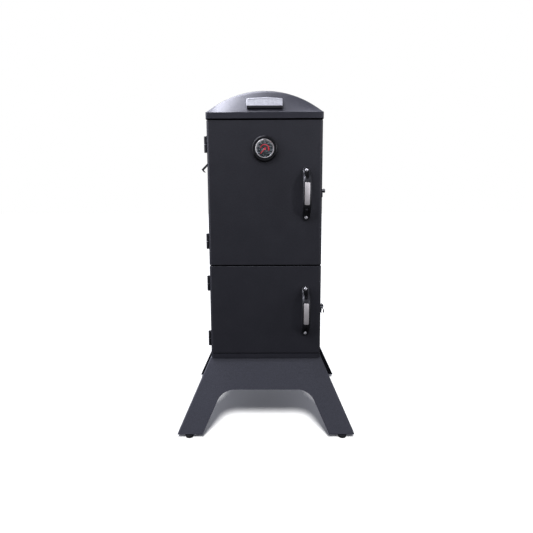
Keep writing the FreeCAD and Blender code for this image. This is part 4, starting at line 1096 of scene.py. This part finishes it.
# ---- inside
def wire_rack(number):
    """Chromed rack: a rounded border, a cross wire and thin rods welded on top."""
    node = "cooking_grid_%d" % number
    low, high = corners(node)
    thick, thin = 3 * MM, 2 * MM
    z = low.z + thick
    x0, x1, y0, y1 = low.x + thick, high.x - thick, low.y + thick, high.y - thick
    mid_y = (low.y + high.y) / 2
    border = [(x, y, z) for x, y in box_outline(x0, x1, y0, y1, 14 * MM, 6)]
    parts = [tube("border", border, thick, True, 12),
             tube("cross", [(x0, mid_y, z), (x1, mid_y, z)], thick, False, 12)]
    rods = 15
    for i in range(rods):
        x = x0 + (high.x - low.x - 2 * thick) * (i + 1) / (rods + 1)
        parts.append(tube("rod", [(x, y0, z + thick), (x, y1, z + thick)], thin, False, 10))
    dress(joined("wire_rack_%d" % number, parts), "cabinet", "grid_wire", node)


def basin(name, low, high, levels):
    """A drawn pan. Each level is (inset, rise, corner radius) in millimetres, from the rim down; a rise
    below zero is measured from the top of the pan and one above zero from its bottom."""
    loops = []
    for inset, rise, radius in levels:
        d = inset * MM
        z = (high.z if rise < 0 else low.z) + rise * MM
        outline = box_outline(low.x + d, high.x - d, low.y + d, high.y - d, radius * MM, 6)
        loops.append([(x, y, z) for x, y in outline])
    pan = loft(name, loops)
    solidify(pan, 0.9 * MM, 1.0)
    return pan


def water_pan():
    low, high = corners("water_pan")
    levels = ((0.4, -2.4, 12), (0.6, -1.4, 12), (1.6, -1.1, 11), (8, -1.1, 20), (9.5, -2.6, 19), (13, 9, 17),
              (16, 3, 15), (22, 0.4, 12))
    pan = basin("enamel_water_pan", low, high, levels)
    dress(pan, "cabinet", "pan_enamel", "water_pan")


def ash_pan():
    """A shallow tray with a flat pull at the front."""
    low, high = corners("ash_pan")
    pull_long = 12 * MM
    low.y += pull_long
    levels = ((0.4, -1.6, 10), (1.0, -0.5, 10), (5, -0.5, 9), (6.5, -2, 9), (9, 6, 8), (14, 0.3, 6))
    tray = basin("tray", low, high, levels)
    outline = box_outline(-40 * MM, 40 * MM, low.y - pull_long, low.y + 5 * MM, 5 * MM)
    pull = slab("pull", outline, "z", high.z - 1.4 * MM, high.z - 0.2 * MM)
    bevel(pull, 0.4 * MM, 2)
    dress(joined("enamel_ash_pan", [tray, pull]), "cabinet", "pan_enamel", "ash_pan")


def bottle_opener():
    """Bent strip: a flat back against the cabinet's side and a hooked jaw below its top."""
    low, high = corners("bottle_opener")
    wall = high.x
    points = ((0, 0), (0, 53), (-2, 53), (-2, 44.5), (-26, 21), (-18, 11.5), (-16.5, 13), (-23, 21),
              (-2, 41.5), (-2, 0))
    outline = [(wall + a * MM, low.z + b * MM) for a, b in points]
    hood = slab("bent_bottle_opener", outline, "y", low.y, high.y)
    bevel(hood, 0.6 * MM)
    dress(hood, "cabinet", "opener_coat", "bottle_opener")


def finish_cad_nodes():
    """Give every CAD piece the finish of its slot, for the pieces left in view."""
    for part in frame["record"]["subparts"]:
        obj = NODES[part["node"]]
        obj.data.materials.clear()
        obj.data.materials.append(FINISHES[part["material_slot"]])


# ---- studio
# Strength of the room's light on the object, at the floor and overhead.
ROOM_LOW, ROOM_HIGH = 0.035, 0.44
CAMERA_PLACE = (0.0161, -1.8119, 0.8566)
CAMERA_TURN = (8.302, -0.237, -0.416)


def camera():
    """Set the place and lens; the turn is the pitch down, the roll and the yaw, in degrees."""
    data = bpy.data.cameras.new("camera")
    data.lens = 29.94
    data.sensor_width = 36.0
    data.clip_end = 100.0
    cam = add_object("camera", data)
    pitch, roll, yaw = (math.radians(angle) for angle in CAMERA_TURN)
    ahead = Vector((math.sin(yaw) * math.cos(pitch), math.cos(yaw) * math.cos(pitch), -math.sin(pitch)))
    level = Vector((math.cos(yaw), -math.sin(yaw), 0))
    above = level.cross(ahead)
    right = level * math.cos(roll) + above * math.sin(roll)
    up = above * math.cos(roll) - level * math.sin(roll)
    turn = Matrix((right, up, -ahead)).transposed().to_4x4()
    cam.matrix_world = Matrix.Translation(CAMERA_PLACE) @ turn
    bpy.context.scene.camera = cam


def add_lamp(name, data, direction):
    lamp = add_object(name, data)
    lamp.rotation_mode = "QUATERNION"
    lamp.rotation_quaternion = direction.to_track_quat("-Z", "Y")
    return lamp


def floor():
    """A white floor that takes the shadow and lights nothing."""
    size = 30.0
    square = [(-size, -size, 0), (size, -size, 0), (size, size, 0), (-size, size, 0)]
    plane = new_object("studio_floor", square, [[0, 1, 2, 3]])
    made = Finish("studio_floor_white", (0.9, 0.9, 0.9), 0.9)
    made.put("Specular IOR Level", 0.0)
    plane.data.materials.append(made.mat)
    plane.visible_glossy = False
    plane.visible_diffuse = False
    return plane


def world():
    """White where the camera sees it; for the object a soft room, brighter above than below."""
    sky = bpy.data.worlds.new("studio_world")
    bpy.context.scene.world = sky
    sky.use_nodes = True
    tree = sky.node_tree
    tree.nodes.clear()
    kinds = ("OutputWorld", "Background", "Background", "TexCoord", "SeparateXYZ", "MapRange", "LightPath",
             "MixShader")
    out, seen, room, where, split, grade, path, mix = (tree.nodes.new("ShaderNode" + kind) for kind in kinds)
    seen.inputs["Color"].default_value = (1.0, 1.0, 1.0, 1.0)
    seen.inputs["Strength"].default_value = 1.0
    room.inputs["Color"].default_value = (0.86, 0.88, 1.0, 1.0)
    limits = (("From Min", -0.25), ("From Max", 0.55), ("To Min", ROOM_LOW), ("To Max", ROOM_HIGH))
    for socket, value in limits:
        grade.inputs[socket].default_value = value
    for start, end in (
            (where.outputs["Generated"], split.inputs[0]), (split.outputs["Z"], grade.inputs["Value"]),
            (grade.outputs["Result"], room.inputs["Strength"]),
            (path.outputs["Is Camera Ray"], mix.inputs["Fac"]), (room.outputs[0], mix.inputs[1]),
            (seen.outputs[0], mix.inputs[2]), (mix.outputs[0], out.inputs["Surface"])):
        tree.links.new(start, end)


def linked(name, plane, state):
    """A collection that limits a lamp to the floor, or keeps it off the floor."""
    group = bpy.data.collections.new(name)
    group.objects.link(plane)
    group.collection_objects[0].light_linking.link_state = state
    return group


def floor_sun(only_floor):
    """Light from the front and above that whitens the floor and throws the object's soft shadow back."""
    data = bpy.data.lights.new("floor_sun", "SUN")
    data.energy = 5.0
    data.angle = math.radians(14.0)
    lamp = add_lamp("floor_sun", data, Vector((0.0, 0.70, -0.72)))
    lamp.light_linking.receiver_collection = only_floor


# Area lights: name, place, aim, size in metres and power in watts.
SOFTBOXES = (
    ("overhead_left", (-1.3, 0.35, 3.1), (0.0, 0.0, 0.9), (2.2, 3.0), 250.0),
    ("left_strip", (-2.7, -1.5, 1.4), (0.0, 0.0, 0.9), (0.6, 2.2), 26.0),
    ("front_high", (-1.5, -2.4, 3.1), (-0.1, -0.2, 1.15), (1.2, 1.0), 20.0),
    ("key_right", (1.65, -2.7, 1.55), (0.1, -0.2, 0.95), (0.35, 0.35), 11.0),
    ("right_strip", (2.6, -1.5, 1.4), (0.0, 0.0, 0.9), (0.6, 2.2), 16.0))


def lights(plane):
    """Softboxes that light the object only, and one sun that lights the floor only."""
    off_floor = linked("off_floor", plane, "EXCLUDE")
    for name, place, aim, size, power in SOFTBOXES:
        data = bpy.data.lights.new(name, "AREA")
        data.shape = "RECTANGLE"
        data.size, data.size_y = size
        data.energy = power
        data.color = (0.86, 0.87, 1.0)
        lamp = add_lamp(name, data, Vector(aim) - Vector(place))
        lamp.location = place
        lamp.light_linking.receiver_collection = off_floor
    floor_sun(linked("floor_only", plane, "INCLUDE"))


# ---- build everything
camera()
world()
lights(floor())
finish_cad_nodes()
cabinet_wrapper()
back_rivets()
roof_cap()
badge_plate()
for side in ("upper", "lower"):
    for make in (door_skin, door_liner, door_gasket, handle, handle_bolts, handle_insert):
        make(side)
thermometer()
hinges()
catches()
leg_panel("front_leg_sheet", "front_leg_panel", -1)
leg_panel("rear_leg_sheet", "rear_leg_panel", 1)
glide_feet()
for shelf in range(1, 5):
    wire_rack(shelf)
water_pan()
ash_pan()
bottle_opener()
bpy.context.scene.view_settings.view_transform = "Standard"
